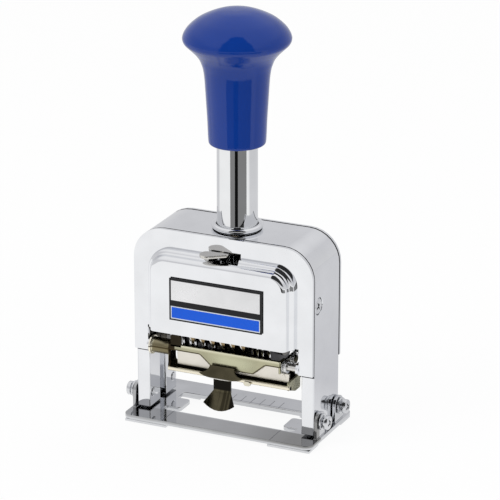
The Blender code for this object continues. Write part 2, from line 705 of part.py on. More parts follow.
def plunger_tube():
    tube = ring("plunger_tube", TUBE_RADIUS, TUBE_BORE_RADIUS, "Z", (0, 0), tube_bottom, TUBE_TOP,
                ROUND_STEPS)
    half_slot = PIN_RADIUS + PIN_CLEARANCE
    slot_bottom = tube_bottom + TUBE_FOOT_RING
    slot = block("slot", (-TUBE_RADIUS - OVERRUN, TUBE_RADIUS + OVERRUN), (-half_slot, half_slot),
                 (slot_bottom, pin_height + STROKE + half_slot))
    return finish(cut(tube, slot), chrome)


def spring_parts():
    reach = leg_inside + GROOVE_DEPTH + PIN_SEAT_DEPTH
    finish(rod("spring_pin", PIN_RADIUS, "X", (0, pin_height), -reach, reach), bright_steel)
    inside = TUBE_BORE_RADIUS - SEAT_GAP
    seat = ring("spring_seat", inside, SPRING_SEAT_BORE_RADIUS, "Z", (0, 0), seat_bottom,
                seat_bottom + SPRING_SEAT_THICKNESS)
    finish(seat, bright_steel)
    finish(rod("spring_cap", inside, "Z", (0, 0), cap_bottom, cap_bottom + SPRING_CAP_HEIGHT), bright_steel)


def main_spring():
    """Compression spring: a helix whose end turns lie close, bevelled to the wire's size."""
    low, high = spring_bottom + SPRING_WIRE_RADIUS, spring_top - SPRING_WIRE_RADIUS
    wire = 2 * SPRING_WIRE_RADIUS
    close_pitch = wire + SEAT_GAP * 2
    live_turns = SPRING_TURNS - 2 * SPRING_DEAD_TURNS
    live_pitch = (high - low - 2 * SPRING_DEAD_TURNS * close_pitch) / live_turns
    points = []
    for step in range(SPRING_TURNS * SPRING_POINTS_PER_TURN + 1):
        turns = step / SPRING_POINTS_PER_TURN
        dead_low = min(turns, SPRING_DEAD_TURNS)
        dead_high = max(turns - SPRING_DEAD_TURNS - live_turns, 0)
        live = turns - dead_low - dead_high
        z = low + (dead_low + dead_high) * close_pitch + live * live_pitch
        points.append((SPRING_RADIUS * math.cos(TURN * turns), SPRING_RADIUS * math.sin(TURN * turns), z))
    least = min(math.dist(points[k], points[k + SPRING_POINTS_PER_TURN])
                for k in range(len(points) - SPRING_POINTS_PER_TURN))
    print(f"main spring: least gap between turns {(least - wire) * 1000:.2f} mm")
    curve = bpy.data.curves.new("main_spring", "CURVE")
    curve.dimensions = "3D"
    curve.bevel_depth = SPRING_WIRE_RADIUS
    curve.bevel_resolution = 1
    curve.use_fill_caps = True
    spline = curve.splines.new("POLY")
    spline.points.add(len(points) - 1)
    for place, point in zip(spline.points, points):
        place.co = (*point, 1)
    made = bpy.data.objects.new("main_spring", curve)
    bpy.context.scene.collection.objects.link(made)
    curve.materials.append(spring_steel)
    return made


# Carriage: deck, two side plates with guide ribs, and what they hold
def carriage():
    half_depth = CARRIAGE_DEPTH / 2
    body = block("carriage", (-carriage_outside, carriage_outside), (-half_depth, half_depth),
                 (deck_under, deck_top))
    pad = rod("pad", CARRIAGE_PAD_RADIUS, "Z", (0, 0), deck_under, deck_top, ROUND_STEPS)
    spigot = rod("spigot", TUBE_BORE_RADIUS - SEAT_GAP, "Z", (0, 0), deck_top - CARRIAGE_DECK / 2,
                 tube_bottom + TUBE_FOOT_RING - SEAT_GAP)
    horn_low = AXLE_HEIGHT + CARRIAGE_HORN_RISE
    side_outline = [(-half_depth, carriage_bottom, half_depth / 2),
                    (half_depth, carriage_bottom, half_depth / 2),
                    (half_depth, deck_top, 0), (-CARRIAGE_HORN_REACH, deck_top, 0),
                    (-CARRIAGE_HORN_REACH, horn_low, CARRIAGE_WALL / 2),
                    (-half_depth, horn_low - half_depth, 0)]
    additions = [pad, spigot]
    holes = []
    for side in (-1, 1):
        additions.append(prism("side", outline_points(side_outline), "X", side * carriage_inside,
                               side * carriage_outside))
        rib_half = GROOVE_WIDTH / 2 - RIB_CLEARANCE
        rib_range = sorted((side * (carriage_outside - CARRIAGE_WALL / 2),
                            side * (leg_inside + GROOVE_DEPTH - RIB_CLEARANCE)))
        for low, high in ((carriage_bottom, AXLE_HEIGHT - AXLE_RADIUS - SEAT_GAP),
                          (AXLE_HEIGHT + AXLE_RADIUS + SEAT_GAP, deck_top)):
            additions.append(block("rib", rib_range, (-rib_half, rib_half), (low, high)))
        through = (side * (carriage_inside - OVERRUN), side * (carriage_outside + OVERRUN))
        holes.append(rod("axle hole", AXLE_RADIUS + PIN_GAP, "X", (0, AXLE_HEIGHT), *through))
        holes.append(rod("rod hole", COMB_ROD_RADIUS + PIN_GAP, "X", comb_rod_centre(), *through))
    return finish(cut(join(body, *additions), *holes), bright_steel)


def comb_rod_centre():
    return (comb_rod_radius * math.cos(COMB_ROD_ANGLE),
            AXLE_HEIGHT + comb_rod_radius * math.sin(COMB_ROD_ANGLE))


def axle_parts():
    reach = carriage_outside - SEAT_GAP
    finish(rod("wheel_axle", AXLE_RADIUS, "X", (0, AXLE_HEIGHT), -reach, reach), bright_steel)
    finish(rod("detent_rod", COMB_ROD_RADIUS, "X", comb_rod_centre(), -reach, reach), bright_steel)
    clip_out = carriage_inside - SEAT_GAP
    for side, side_name in ((-1, "left"), (1, "right")):
        clip = ring(f"axle_clip_{side_name}", CLIP_RADIUS, AXLE_RADIUS + PIN_GAP, "X", (0, AXLE_HEIGHT),
                    side * (clip_out - CLIP_THICKNESS), side * clip_out)
        finish(clip, bright_steel)


# Number wheels: a type ring with ten raised figures' places and a ratchet beside it
def type_outline():
    points = []
    step = TURN / FIGURES
    for figure in range(FIGURES):
        middle = -TURN / 4 + figure * step
        for share in (-FIGURE_ARC_SHARE, 0, FIGURE_ARC_SHARE):
            turn = middle + share * step / 2
            points.append((WHEEL_RADIUS * math.cos(turn), AXLE_HEIGHT + WHEEL_RADIUS * math.sin(turn)))
        for share in (VALLEY_ARC_SHARE, 2 - VALLEY_ARC_SHARE):
            turn = middle + share * step / 2
            points.append((WHEEL_VALLEY_RADIUS * math.cos(turn),
                           AXLE_HEIGHT + WHEEL_VALLEY_RADIUS * math.sin(turn)))
    return points


def ratchet_outline():
    """Saw teeth, one for each figure."""
    points = []
    for tooth in range(FIGURES):
        turn = TURN * tooth / FIGURES
        points.append((RATCHET_RADIUS * math.cos(turn), AXLE_HEIGHT + RATCHET_RADIUS * math.sin(turn)))
        points.append((RATCHET_ROOT_RADIUS * math.cos(turn),
                       AXLE_HEIGHT + RATCHET_ROOT_RADIUS * math.sin(turn)))
        half = turn + TURN / FIGURES / 2
        middle_radius = (RATCHET_RADIUS + RATCHET_ROOT_RADIUS) / 2
        points.append((middle_radius * math.cos(half), AXLE_HEIGHT + middle_radius * math.sin(half)))
    return points


def wheel_left(index):
    """X of a wheel's left side."""
    return -stack_half + index * WHEEL_PITCH + SEAT_GAP / 2


def number_wheels():
    first = None
    for index in range(WHEEL_COUNT):
        left = wheel_left(index)
        name = f"number_wheel_{index + 1}"
        if first is None:
            types = prism(name, type_outline(), "X", left, left + TYPE_WIDTH)
            ratchet = prism("ratchet", ratchet_outline(), "X", left + TYPE_WIDTH / 2, left + wheel_thickness)
            bore = rod("bore", AXLE_RADIUS + RUN_GAP, "X", (0, AXLE_HEIGHT), left - OVERRUN,
                       left + wheel_thickness + OVERRUN)
            first = finish(cut(join(types, ratchet), bore), blackened_steel, (left, 0, AXLE_HEIGHT))
            continue
        copy = bpy.data.objects.new(name, first.data)
        copy.location = (left, 0, AXLE_HEIGHT)
        bpy.context.scene.collection.objects.link(copy)


def end_spacers():
    for side, side_name in ((-1, "left"), (1, "right")):
        profile = [(AXLE_RADIUS + RUN_GAP, side * spacer_start)]
        high = True
        for near, far in zip(SPACER_RIDGE_SHARES, SPACER_RIDGE_SHARES[1:]):
            radius = SPACER_RADIUS if high else SPACER_GROOVE_RADIUS
            profile.append((radius, side * (spacer_start + spacer_width * near)))
            profile.append((radius, side * (spacer_start + spacer_width * far)))
            high = not high
        profile.append((AXLE_RADIUS + RUN_GAP, side * spacer_end))
        spacer = turned(f"end_spacer_{side_name}", profile, "X", (0, AXLE_HEIGHT), SMALL_STEPS, closed=True)
        finish(spacer, blackened_steel)


def arc_band(inner, outer, start_angle, end_angle, steps):
    """Outline of a curved strip round the wheel axle."""
    turns = [start_angle + (end_angle - start_angle) * k / steps for k in range(steps + 1)]
    outside = [(outer * math.cos(turn), AXLE_HEIGHT + outer * math.sin(turn)) for turn in turns]
    inside = [(inner * math.cos(turn), AXLE_HEIGHT + inner * math.sin(turn)) for turn in reversed(turns)]
    return outside + inside


def detent_comb():
    reach = spacer_end
    band = prism("detent_comb", arc_band(comb_inner, comb_outer, COMB_START_ANGLE, COMB_BAND_END_ANGLE,
                                         COARSE_ARC), "X", -reach, reach)
    overlap = math.radians(4)
    teeth = []
    for index in range(-COMB_END_TEETH, WHEEL_COUNT + COMB_END_TEETH):
        middle = wheel_left(index) + TYPE_WIDTH / 2
        left, right = middle - COMB_TOOTH_WIDTH / 2, middle + COMB_TOOTH_WIDTH / 2
        if left < -reach or right > reach:
            continue
        teeth.append(prism("tooth", arc_band(comb_inner, comb_outer, COMB_BAND_END_ANGLE - overlap,
                                             COMB_TOOTH_END_ANGLE, COARSE_ARC), "X", left, right))
    return finish(join(band, *teeth), brass)


# Pawl yoke: two arms on the wheel axle, a rod between them, and a comb of pawls on the rod
def yoke_point(along, across):
    """(Y, Z) of a point out along the yoke's arm and across it."""
    cos, sin = math.cos(YOKE_ANGLE), math.sin(YOKE_ANGLE)
    return (along * cos - across * sin, AXLE_HEIGHT + along * sin + across * cos)


def pawl_yoke():
    rod_centre = yoke_point(pawl_rod_radius, 0)
    arms = []
    outline = hull_points((0, AXLE_HEIGHT), YOKE_HUB_RADIUS, rod_centre, YOKE_END_RADIUS)
    for side in (-1, 1):
        arms.append(prism("pawl_yoke", outline, "X", side * yoke_inside, side * yoke_outside))
    bar = rod("bar", PAWL_ROD_RADIUS, "X", rod_centre, -yoke_outside + YOKE_ARM / 2,
              yoke_outside - YOKE_ARM / 2)
    bore = rod("bore", AXLE_RADIUS + RUN_GAP, "X", (0, AXLE_HEIGHT), -yoke_outside - OVERRUN,
               yoke_outside + OVERRUN)
    body = cut(join(arms[0], bar, arms[1]), bore)
    body.name = "pawl_yoke"
    return finish(body, bright_steel, (0, 0, AXLE_HEIGHT))


def pawl_comb():
    near = PAWL_ROD_RADIUS + SEAT_GAP
    far = near + PAWL_THICKNESS
    low = WHEEL_RADIUS + SEAT_GAP + PAWL_TIP_GAP
    high = low + PAWL_BACK_WIDTH
    tip = RATCHET_RADIUS + PAWL_TIP_GAP
    reach = stack_half + PAWL_FINGER_WIDTH
    corners = [yoke_point(low, near), yoke_point(high, near), yoke_point(high, far), yoke_point(low, far)]
    back = prism("pawl_comb", corners, "X", -reach, reach)
    fingers = []
    for index in range(WHEEL_COUNT):
        left = wheel_left(index) + TYPE_WIDTH + SEAT_GAP
        corners = [yoke_point(tip, near), yoke_point(low + PAWL_BACK_WIDTH / 2, near),
                   yoke_point(low + PAWL_BACK_WIDTH / 2, far), yoke_point(tip, far)]
        fingers.append(prism("finger", corners, "X", left, left + PAWL_FINGER_WIDTH))
    return finish(join(back, *fingers), spring_steel, (0, 0, AXLE_HEIGHT))


# Ink carrier: folded sheet with a barrel, side arms, a front plate, a lip, an end wall and rails
def carrier_front_outline():
    top, window = carrier_top, window_top
    bend = SHEET * 2
    left, right = carrier_left + SHEET / 4, carrier_arm - SHEET / 4
    return outline_points([(left, top, 0), (right, top, SHEET / 2), (right, window, SHEET / 2),
                           (TONGUE_RIGHT, window, bend), (TONGUE_RIGHT - TONGUE_SLOPE, tongue_bottom, bend),
                           (TONGUE_LEFT + TONGUE_SLOPE, tongue_bottom, bend), (TONGUE_LEFT, window, bend),
                           (left, window, 0)])


def carrier_arm_outline(front_corners):
    """Side arm's outline: its front corners, then the low rear part and the step up to the barrel."""
    fold = SHEET / 8
    rear = CARRIER_REAR
    step = PIVOT_Y + BARREL_RADIUS
    return outline_points(front_corners + [
        (CARRIER_BOTTOM_START, carrier_bottom, SHEET), (rear, carrier_bottom, SHEET),
        (rear, carrier_rear_top, SHEET), (step, carrier_rear_top + SHEET, BARREL_RADIUS),
        (step, carrier_top - fold, SHEET), (CARRIER_FRONT + SHEET / 2, carrier_top - fold, 0)])


def ink_carrier():
    front, rear = CARRIER_FRONT, CARRIER_REAR
    fold = SHEET / 8
    arm_front = front + SHEET / 2
    left_arm = carrier_arm_outline([(arm_front, lip_bottom + fold, 0)])
    right_arm = carrier_arm_outline([(arm_front, arm_notch_top, 0), (ARM_NOTCH_REAR, arm_notch_top, 0),
                                     (ARM_NOTCH_REAR, carrier_bottom + SHEET, 0)])
    lip_front, lip_rear = front - 2 * fold, front + LIP_DEPTH
    lip_outline = outline_points([(lip_front, lip_bottom, SHEET / 2), (lip_rear, lip_bottom, 0),
                                  (lip_rear, lip_bottom + LIP_FLOOR, 0),
                                  (front + SHEET, lip_bottom + LIP_FLOOR, 0),
                                  (front + SHEET, lip_top, SHEET / 4),
                                  (lip_front, lip_top, SHEET / 2)])
    end_outline = outline_points([(front - fold, lip_bottom + fold, SHEET / 2),
                                  (CARRIER_BOTTOM_START, carrier_bottom + fold, SHEET),
                                  (END_WALL_REAR, carrier_bottom + fold, SHEET),
                                  (END_WALL_REAR, end_wall_top, SHEET), (front - fold, end_wall_top, SHEET)])
    pivot = (PIVOT_Y, pivot_height)
    left_inside = carrier_left + SHEET
    right_inside = carrier_arm - SHEET
    barrel_end = -mouth_half + EAR_THICKNESS + SEAT_GAP
    rail_z = (carrier_bottom + 2 * fold, carrier_bottom + SHEET)
    rail_y = (CARRIER_BOTTOM_START + SHEET, rear - SHEET)
    additions = [
        prism("left arm", left_arm, "X", carrier_left, left_inside),
        prism("right arm", right_arm, "X", right_inside, carrier_arm),
        prism("lip", lip_outline, "X", carrier_left + fold, carrier_right - fold),
        prism("end wall", end_outline, "X", carrier_right - SHEET, carrier_right),
        block("left rail", (carrier_left + SHEET / 2, tray_left + RAIL_WIDTH), rail_y, rail_z),
        block("right rail", (right_inside - RAIL_WIDTH, right_inside + SHEET / 2), rail_y, rail_z),
        block("end strap", (carrier_arm - SHEET / 2, carrier_right - SHEET / 2),
              (CARRIER_BOTTOM_START + SHEET, END_WALL_REAR - SHEET), rail_z),
        rod("barrel", BARREL_RADIUS, "X", pivot, barrel_end + fold, left_inside - fold),
        rod("flange", FLANGE_RADIUS, "X", pivot, barrel_end, barrel_end + FLANGE_THICKNESS),
    ]
    bore = rod("bore", HINGE_PIN_RADIUS + RUN_GAP, "X", pivot, barrel_end - OVERRUN, carrier_arm + OVERRUN)
    return finish(cut(join(prism("ink_carrier", carrier_front_outline(), "Y", front, front + SHEET),
                           *additions), bore), yellow_zinc, (0, PIVOT_Y, pivot_height))


def carrier_pins():
    pivot = (PIVOT_Y, pivot_height)
    outer = mouth_half
    left = rod("carrier_pin_left", HINGE_PIN_RADIUS, "X", pivot, -outer, carrier_left + SHEET)
    right = rod("carrier_pin_right", HINGE_PIN_RADIUS, "X", pivot, carrier_arm - SHEET, outer)
    finish(left, bright_steel)
    finish(right, bright_steel)


def carrier_link():
    pivot = Vector((PIVOT_Y, pivot_height))
    end = pivot + Vector((LINK_REACH_Y, LINK_REACH_Z))
    left = carrier_arm + SEAT_GAP
    right = left + LINK_THICKNESS
    body = prism("carrier_link", hull_points(pivot, LINK_PIVOT_RADIUS, end, LINK_END_RADIUS), "X", left,
                 right)
    middle = left + LINK_THICKNESS / 2
    bosses = [rod("boss", radius, "X", centre, middle, right + LINK_BOSS_HEIGHT)
              for centre, radius in ((pivot, LINK_PIVOT_RADIUS), (end, LINK_END_RADIUS))]
    holes = [rod("hole", radius, "X", centre, left - OVERRUN, right + LINK_BOSS_HEIGHT + OVERRUN)
             for centre, radius in ((pivot, HINGE_PIN_RADIUS + RUN_GAP), (end, LINK_PIN_RADIUS + PIN_GAP))]
    finish(cut(join(body, *bosses), *holes), chrome, (0, PIVOT_Y, pivot_height))
    pin = rod("link_pin", LINK_PIN_RADIUS, "X", end, left, right + LINK_BOSS_HEIGHT + SEAT_GAP)
    finish(pin, brass, (0, PIVOT_Y, pivot_height))


# Ink tray and pad that the carrier holds, with the pull tab in front
def ink_tray():
    rear = CARRIER_REAR - SEAT_GAP
    side_top = tray_bottom + TRAY_SIDE_RISE
    flange_right = carrier_right - SHEET - SEAT_GAP
    body = block("ink_tray", (tray_left, tray_right), (TRAY_FRONT, rear), (tray_bottom, side_top))
    step = carrier_arm - SHEET - SEAT_GAP
    front_outline = [(tray_left, tray_bottom), (flange_right, tray_bottom + SEAT_GAP),
                     (flange_right, tray_step_top), (step, tray_step_top), (step, tray_front_top),
                     (tray_left, tray_front_top)]
    front = prism("front", front_outline, "Y", TRAY_FRONT, TRAY_FRONT + TRAY_WALL)
    hollow = block("hollow", (tray_left + TRAY_WALL, tray_right - TRAY_WALL),
                   (TRAY_FRONT + TRAY_WALL, rear - TRAY_WALL), (tray_bottom + TRAY_FLOOR, side_top + OVERRUN))
    finish(cut(join(body, front), hollow), nickel, (0, PIVOT_Y, pivot_height))
    inset = TRAY_WALL + SEAT_GAP
    pad = block("ink_pad", (tray_left + inset, tray_right - inset), (TRAY_FRONT + inset, rear - inset),
                (tray_bottom + TRAY_FLOOR + SEAT_GAP, pad_top))
    finish(pad, ink_felt, (0, PIVOT_Y, pivot_height))


def leaf_outline():
    """Leaf across X, with its share of the way up the slope from 0 to 1."""
    widest = LEAF_WIDEST_SHARE
    half_steps = FINE_ARC * 2
    points = []
    for step in range(half_steps + 1):
        turn = TURN / 2 + TURN / 2 * step / half_steps
        points.append((LEAF_HALF_WIDTH * math.cos(turn), widest + widest * math.sin(turn)))
    for step in range(1, FINE_ARC):
        turn = TURN / 4 * step / FINE_ARC
        width = LEAF_TOP_HALF_WIDTH + (LEAF_HALF_WIDTH - LEAF_TOP_HALF_WIDTH) * (1 - math.sin(turn))
        points.append((width, widest + (1 - widest) * (1 - math.cos(turn))))
    points.append((LEAF_TOP_HALF_WIDTH, 1))
    mirrored = [(-x, share) for x, share in points[half_steps + 1:]]
    return points + list(reversed(mirrored))


def tray_tab():
    """Leaf on a slope, a strip behind it, a neck and a fan-shaped grip, of one sheet."""
    bm = bmesh.new()
    lean = Vector((0, LEAF_TOP_Y - LEAF_LOW_Y, leaf_top_height - leaf_low_height))
    normal = Vector((1, 0, 0)).cross(lean).normalized() * LEAF_THICKNESS
    start = Vector((TAB_CENTRE, LEAF_LOW_Y, leaf_low_height))
    face = bm.faces.new([bm.verts.new(start + Vector((x, 0, 0)) + lean * share)
                         for x, share in leaf_outline()])
    moved = [item for item in bmesh.ops.extrude_face_region(bm, geom=[face])["geom"]
             if isinstance(item, bmesh.types.BMVert)]
    bmesh.ops.translate(bm, verts=moved, vec=-normal)
    leaf = new_object("tray_tab", bm)
    half_neck = NECK_WIDTH / 2
    neck_x = (TAB_CENTRE - half_neck, TAB_CENTRE + half_neck)
    strip_x = (neck_x[0] + SEAT_GAP, neck_x[1] - SEAT_GAP)
    strip_bottom = lip_top + SEAT_GAP
    strip_top = strip_bottom + SHEET
    strip = block("strip", strip_x, (LEAF_LOW_Y + SHEET, TRAY_FRONT - SEAT_GAP), (strip_bottom, strip_top))
    neck = block("neck", neck_x, (NECK_FRONT, NECK_FRONT + SHEET),
                 (neck_low_height - SHEET, strip_top - RUN_GAP))
    return finish(join(leaf, strip, neck, fan_grip()), dark_brass, (0, PIVOT_Y, pivot_height))


def fan_grip():
    """Fan-shaped end of the tab: it widens downward, leans forward and bulges."""
    bm = bmesh.new()
    rows = 5
    columns = 8
    sheets = []
    for offset in (0, SHEET - 2 * RUN_GAP):
        grid = []
        for row in range(rows + 1):
            down = row / rows
            half = FAN_HIGH_HALF_WIDTH + (FAN_LOW_HALF_WIDTH - FAN_HIGH_HALF_WIDTH) * down
            line = []
            for column in range(columns + 1):
                across = 2 * column / columns - 1
                y = NECK_FRONT + RUN_GAP + (FAN_LOW_Y - NECK_FRONT) * down
                y -= FAN_BULGE * (1 - across * across) * down / 2
                z = neck_low_height + (fan_low_height - neck_low_height) * down
                z += FAN_CORNER_RISE * across * across * down
                line.append(bm.verts.new((TAB_CENTRE + half * across, y + offset, z)))
            grid.append(line)
        sheets.append(grid)
    for grid in sheets:
        for row in range(rows):
            for column in range(columns):
                bm.faces.new([grid[row][column], grid[row][column + 1], grid[row + 1][column + 1],
                              grid[row + 1][column]])
    near, far = sheets
    rim = [(row, 0) for row in range(rows)] + [(rows, column) for column in range(columns)]
    rim += [(row, columns) for row in range(rows, 0, -1)] + [(0, column) for column in range(columns, 0, -1)]
    for (row, column), (next_row, next_column) in zip(rim, rim[1:] + rim[:1]):
        bm.faces.new([near[row][column], near[next_row][next_column], far[next_row][next_column],
                      far[row][column]])
    return new_object("fan", bm)


def tray_clip():
    back = CARRIER_FRONT - SEAT_GAP
    corners = [(CLIP_LEFT, clip_top - CLIP_HEIGHT, SHEET),
               (CLIP_LEFT + CLIP_WIDTH, clip_top - CLIP_HEIGHT, SHEET),
               (CLIP_LEFT + CLIP_WIDTH, clip_top, SHEET), (CLIP_LEFT, clip_top, SHEET)]
    body = prism("tray_clip", outline_points(corners), "Y", back - SHEET, back)
    return finish(body, nickel, (0, PIVOT_Y, pivot_height))


# Repeat selector: a collar round the guide sleeve, whose arm ends outside the slot in a rounded grip
def repeat_selector():
    elbow, tip = Vector(SELECTOR_ELBOW), Vector(SELECTOR_TIP)
    root = elbow.normalized() * (SELECTOR_HUB_RADIUS + bush_radius()) / 2
    low, high = selector_bottom + RUN_GAP, selector_top - RUN_GAP
    collar = rod("repeat_selector", SELECTOR_HUB_RADIUS, "Z", (0, 0), selector_bottom, selector_top,
                 ROUND_STEPS)
    arm = prism("arm", hull_points(root, SELECTOR_ELBOW_RADIUS - RUN_GAP, elbow,
                                   SELECTOR_ELBOW_RADIUS - 2 * RUN_GAP), "Z", low, high)
    grip = prism("grip", hull_points(tip, SELECTOR_TIP_RADIUS, elbow, SELECTOR_ELBOW_RADIUS), "Z",
                 selector_bottom, selector_top)
    bore = rod("bore", bush_radius() + RUN_GAP, "Z", (0, 0), selector_bottom - OVERRUN,
               selector_top + OVERRUN, ROUND_STEPS)
    finish(cut(join(collar, arm, grip), bore), nickel, (0, 0, selector_bottom))
    ring_top = selector_bottom - SEAT_GAP
    clip = ring("selector_clip", SELECTOR_CLIP_RADIUS, bush_radius() + PIN_GAP, "Z", (0, 0),
                ring_top - SELECTOR_CLIP_THICKNESS, ring_top, ROUND_STEPS)
    finish(clip, bright_steel)


base_plate()
foot_strips()
base_screws()
frame()
front_cover()
back_cover()
label_plate()
cover_screws()
guide_bush()
knob()
plunger_tube()
spring_parts()
main_spring()
carriage()
axle_parts()
number_wheels()
end_spacers()
detent_comb()
pawl_yoke()
pawl_comb()
ink_carrier()
carrier_pins()
carrier_link()
ink_tray()
tray_tab()
tray_clip()
repeat_selector()
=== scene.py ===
"""Hand numbering machine in chromed steel with a blue moulded knob, dressed for its photograph."""

import json
import math

import bmesh
import bpy
import numpy as np
from mathutils import Matrix, Vector

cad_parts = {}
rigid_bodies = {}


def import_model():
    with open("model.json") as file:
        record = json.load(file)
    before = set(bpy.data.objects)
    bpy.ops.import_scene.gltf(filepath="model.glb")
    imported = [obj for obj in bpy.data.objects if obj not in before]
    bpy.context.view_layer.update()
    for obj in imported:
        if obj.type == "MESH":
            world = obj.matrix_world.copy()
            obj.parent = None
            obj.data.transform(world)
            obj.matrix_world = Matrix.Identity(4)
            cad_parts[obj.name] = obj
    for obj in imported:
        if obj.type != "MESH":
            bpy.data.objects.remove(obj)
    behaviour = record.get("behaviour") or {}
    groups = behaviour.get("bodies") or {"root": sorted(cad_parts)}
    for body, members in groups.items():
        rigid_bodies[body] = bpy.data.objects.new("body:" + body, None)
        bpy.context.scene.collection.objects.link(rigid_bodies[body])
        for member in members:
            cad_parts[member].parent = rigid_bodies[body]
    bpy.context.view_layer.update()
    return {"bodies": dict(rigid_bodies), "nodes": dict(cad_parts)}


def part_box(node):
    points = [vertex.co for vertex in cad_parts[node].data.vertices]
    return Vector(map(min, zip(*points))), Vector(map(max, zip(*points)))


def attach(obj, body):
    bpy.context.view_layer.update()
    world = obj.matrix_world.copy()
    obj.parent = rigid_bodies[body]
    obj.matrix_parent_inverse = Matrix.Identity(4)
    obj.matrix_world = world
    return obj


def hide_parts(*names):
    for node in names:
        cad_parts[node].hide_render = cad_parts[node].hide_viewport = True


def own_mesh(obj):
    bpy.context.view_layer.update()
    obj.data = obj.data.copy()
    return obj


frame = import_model()

# Camera
# A long lens a little over a metre away, 25 degrees to the right of the front and looking down on
# the housing's top by 20 degrees.
CAMERA_TURN, CAMERA_DIP = np.radians((24.649, 20.027))
CAMERA_PLACE = (0.43598, -0.93999, 0.43929)
LENS, SENSOR, NEAREST = 235.9, 36, 0.05


def in_scene(name, data):
    """New object that shows this mesh, text, camera or lamp."""
    made = bpy.data.objects.new(name, data)
    bpy.context.scene.collection.objects.link(made)
    return made


camera = in_scene("camera", bpy.data.cameras.new("camera"))
camera.data.lens = LENS
camera.data.sensor_width = SENSOR
camera.data.clip_start = NEAREST
across = (math.cos(CAMERA_TURN), math.sin(CAMERA_TURN), 0)
ahead = (-math.sin(CAMERA_TURN) * math.cos(CAMERA_DIP), math.cos(CAMERA_TURN) * math.cos(CAMERA_DIP),
         -math.sin(CAMERA_DIP))
upward = np.cross(across, ahead)
turned = Matrix([(across[k], upward[k], -ahead[k]) for k in range(3)]).to_4x4()
camera.matrix_world = Matrix.Translation(CAMERA_PLACE) @ turned
bpy.context.scene.camera = camera
bpy.context.scene.view_settings.view_transform = "Standard"

# Room
# White paper under the machine in a white room, one large soft lamp above left and two weaker ones,
# and dark cards out of the picture that the bright metal shows as its black bands.


class Shade:
    """A value in a node tree. Python's operators on it add Math nodes, and node adds any other."""

    def __init__(self, tree, socket=None):
        self.tree = tree
        self.socket = socket

    def node(self, kind, settings, inputs, output=0):
        made = self.tree.nodes.new(kind)
        stops = settings.pop("stops", ())
        for key, value in settings.items():
            setattr(made, key, value)
        for index, (place, colour) in enumerate(stops):
            if index < 2:
                made.color_ramp.elements[index].position = place
            else:
                made.color_ramp.elements.new(place)
            made.color_ramp.elements[index].color = colour
        for key, value in inputs.items():
            if isinstance(value, Shade):
                self.tree.links.new(value.socket, made.inputs[key])
            else:
                made.inputs[key].default_value = value
        return Shade(self.tree, made.outputs[output])

    def other(self, output):
        """Another output of the node that gives this value."""
        return Shade(self.tree, self.socket.node.outputs[output])

    def maths(self, operation, first, second=0.0, clamp=False):
        settings = {"operation": operation, "use_clamp": clamp}
        return self.node("ShaderNodeMath", settings, {0: first, 1: second})

    def __add__(self, other):
        return self.maths("ADD", self, other)

    def __radd__(self, other):
        return self.maths("ADD", other, self)

    def __sub__(self, other):
        return self.maths("SUBTRACT", self, other)

    def __rsub__(self, other):
        return self.maths("SUBTRACT", other, self)

    def __mul__(self, other):
        return self.maths("MULTIPLY", self, other)

    def __truediv__(self, other):
        return self.maths("DIVIDE", self, other)

    def __pow__(self, other):
        return self.maths("POWER", self, other)

    def __abs__(self):
        return self.maths("ABSOLUTE", self)

    def bands(self, centre, half, soft):
        """1 within half of centre, falling to 0 over soft."""
        return self.maths("DIVIDE", half + soft / 2 - abs(self - centre), soft, clamp=True)

    def above(self, edge, soft):
        """0 below edge and 1 above it, over soft."""
        return self.maths("DIVIDE", self - (edge - soft / 2), soft, clamp=True)

    def clamped(self):
        return self.maths("ADD", self, 0.0, clamp=True)

    def mixed(self, first, second):
        """Colour between two, by this value."""
        return self.node("ShaderNodeMix", {"data_type": "RGBA"}, {0: self, 6: first, 7: second}, 2)

    def link(self, node, key):
        self.tree.links.new(self.socket, node.inputs[key])


def new_finish(name):
    """New material, its shader, and a start for the values of its nodes."""
    made = bpy.data.materials.new(name)
    made.use_nodes = True
    return made, made.node_tree.nodes["Principled BSDF"], Shade(made.node_tree)


WHITE = (1, 1, 1, 1)
ROOM_GREY = (0.62, 0.62, 0.62, 1)
WALL_TONES = ((0.0, (0.7, 0.7, 0.71, 1)), (0.40, (0.66, 0.66, 0.68, 1)), (0.60, (0.86, 0.86, 0.87, 1)),
              (1.0, (0.95, 0.95, 0.95, 1)))
ROOM_MIDDLE, CARD_AWAY = 0.06, 0.9
CARD_NEAR, CARD_FAR = 0.185, 0.7
FLOOR_REACH = 3
FLOOR_COLOUR = (0.93, 0.93, 0.93, 1)
FLOOR_SHADE, SHADE_START, SHADE_SOFT = (0.68, 0.68, 0.7, 1), 0.02, 0.05
SEEN_GLOW, MIRRORED_GLOW = 0.93, 0.85

world = bpy.data.worlds.new("white room")
bpy.context.scene.world = world
world.use_nodes = True
world.node_tree.nodes.clear()
sky = Shade(world.node_tree)
seen = sky.node("ShaderNodeLightPath", {}, {})
direct = seen.maths("MAXIMUM", seen, seen.other("Is Transmission Ray"))
rise = sky.node("ShaderNodeSeparateXYZ", {}, {0: sky.node("ShaderNodeTexCoord", {}, {}, "Generated")}, "Z")
walls = rise.node("ShaderNodeValToRGB", {"stops": WALL_TONES}, {0: rise})
shown = direct.mixed(seen.other("Is Glossy Ray").mixed(ROOM_GREY, walls), WHITE)
glow = sky.node("ShaderNodeBackground", {}, {"Color": shown, "Strength": 1.0})
output = world.node_tree.nodes.new("ShaderNodeOutputWorld")
glow.link(output, "Surface")


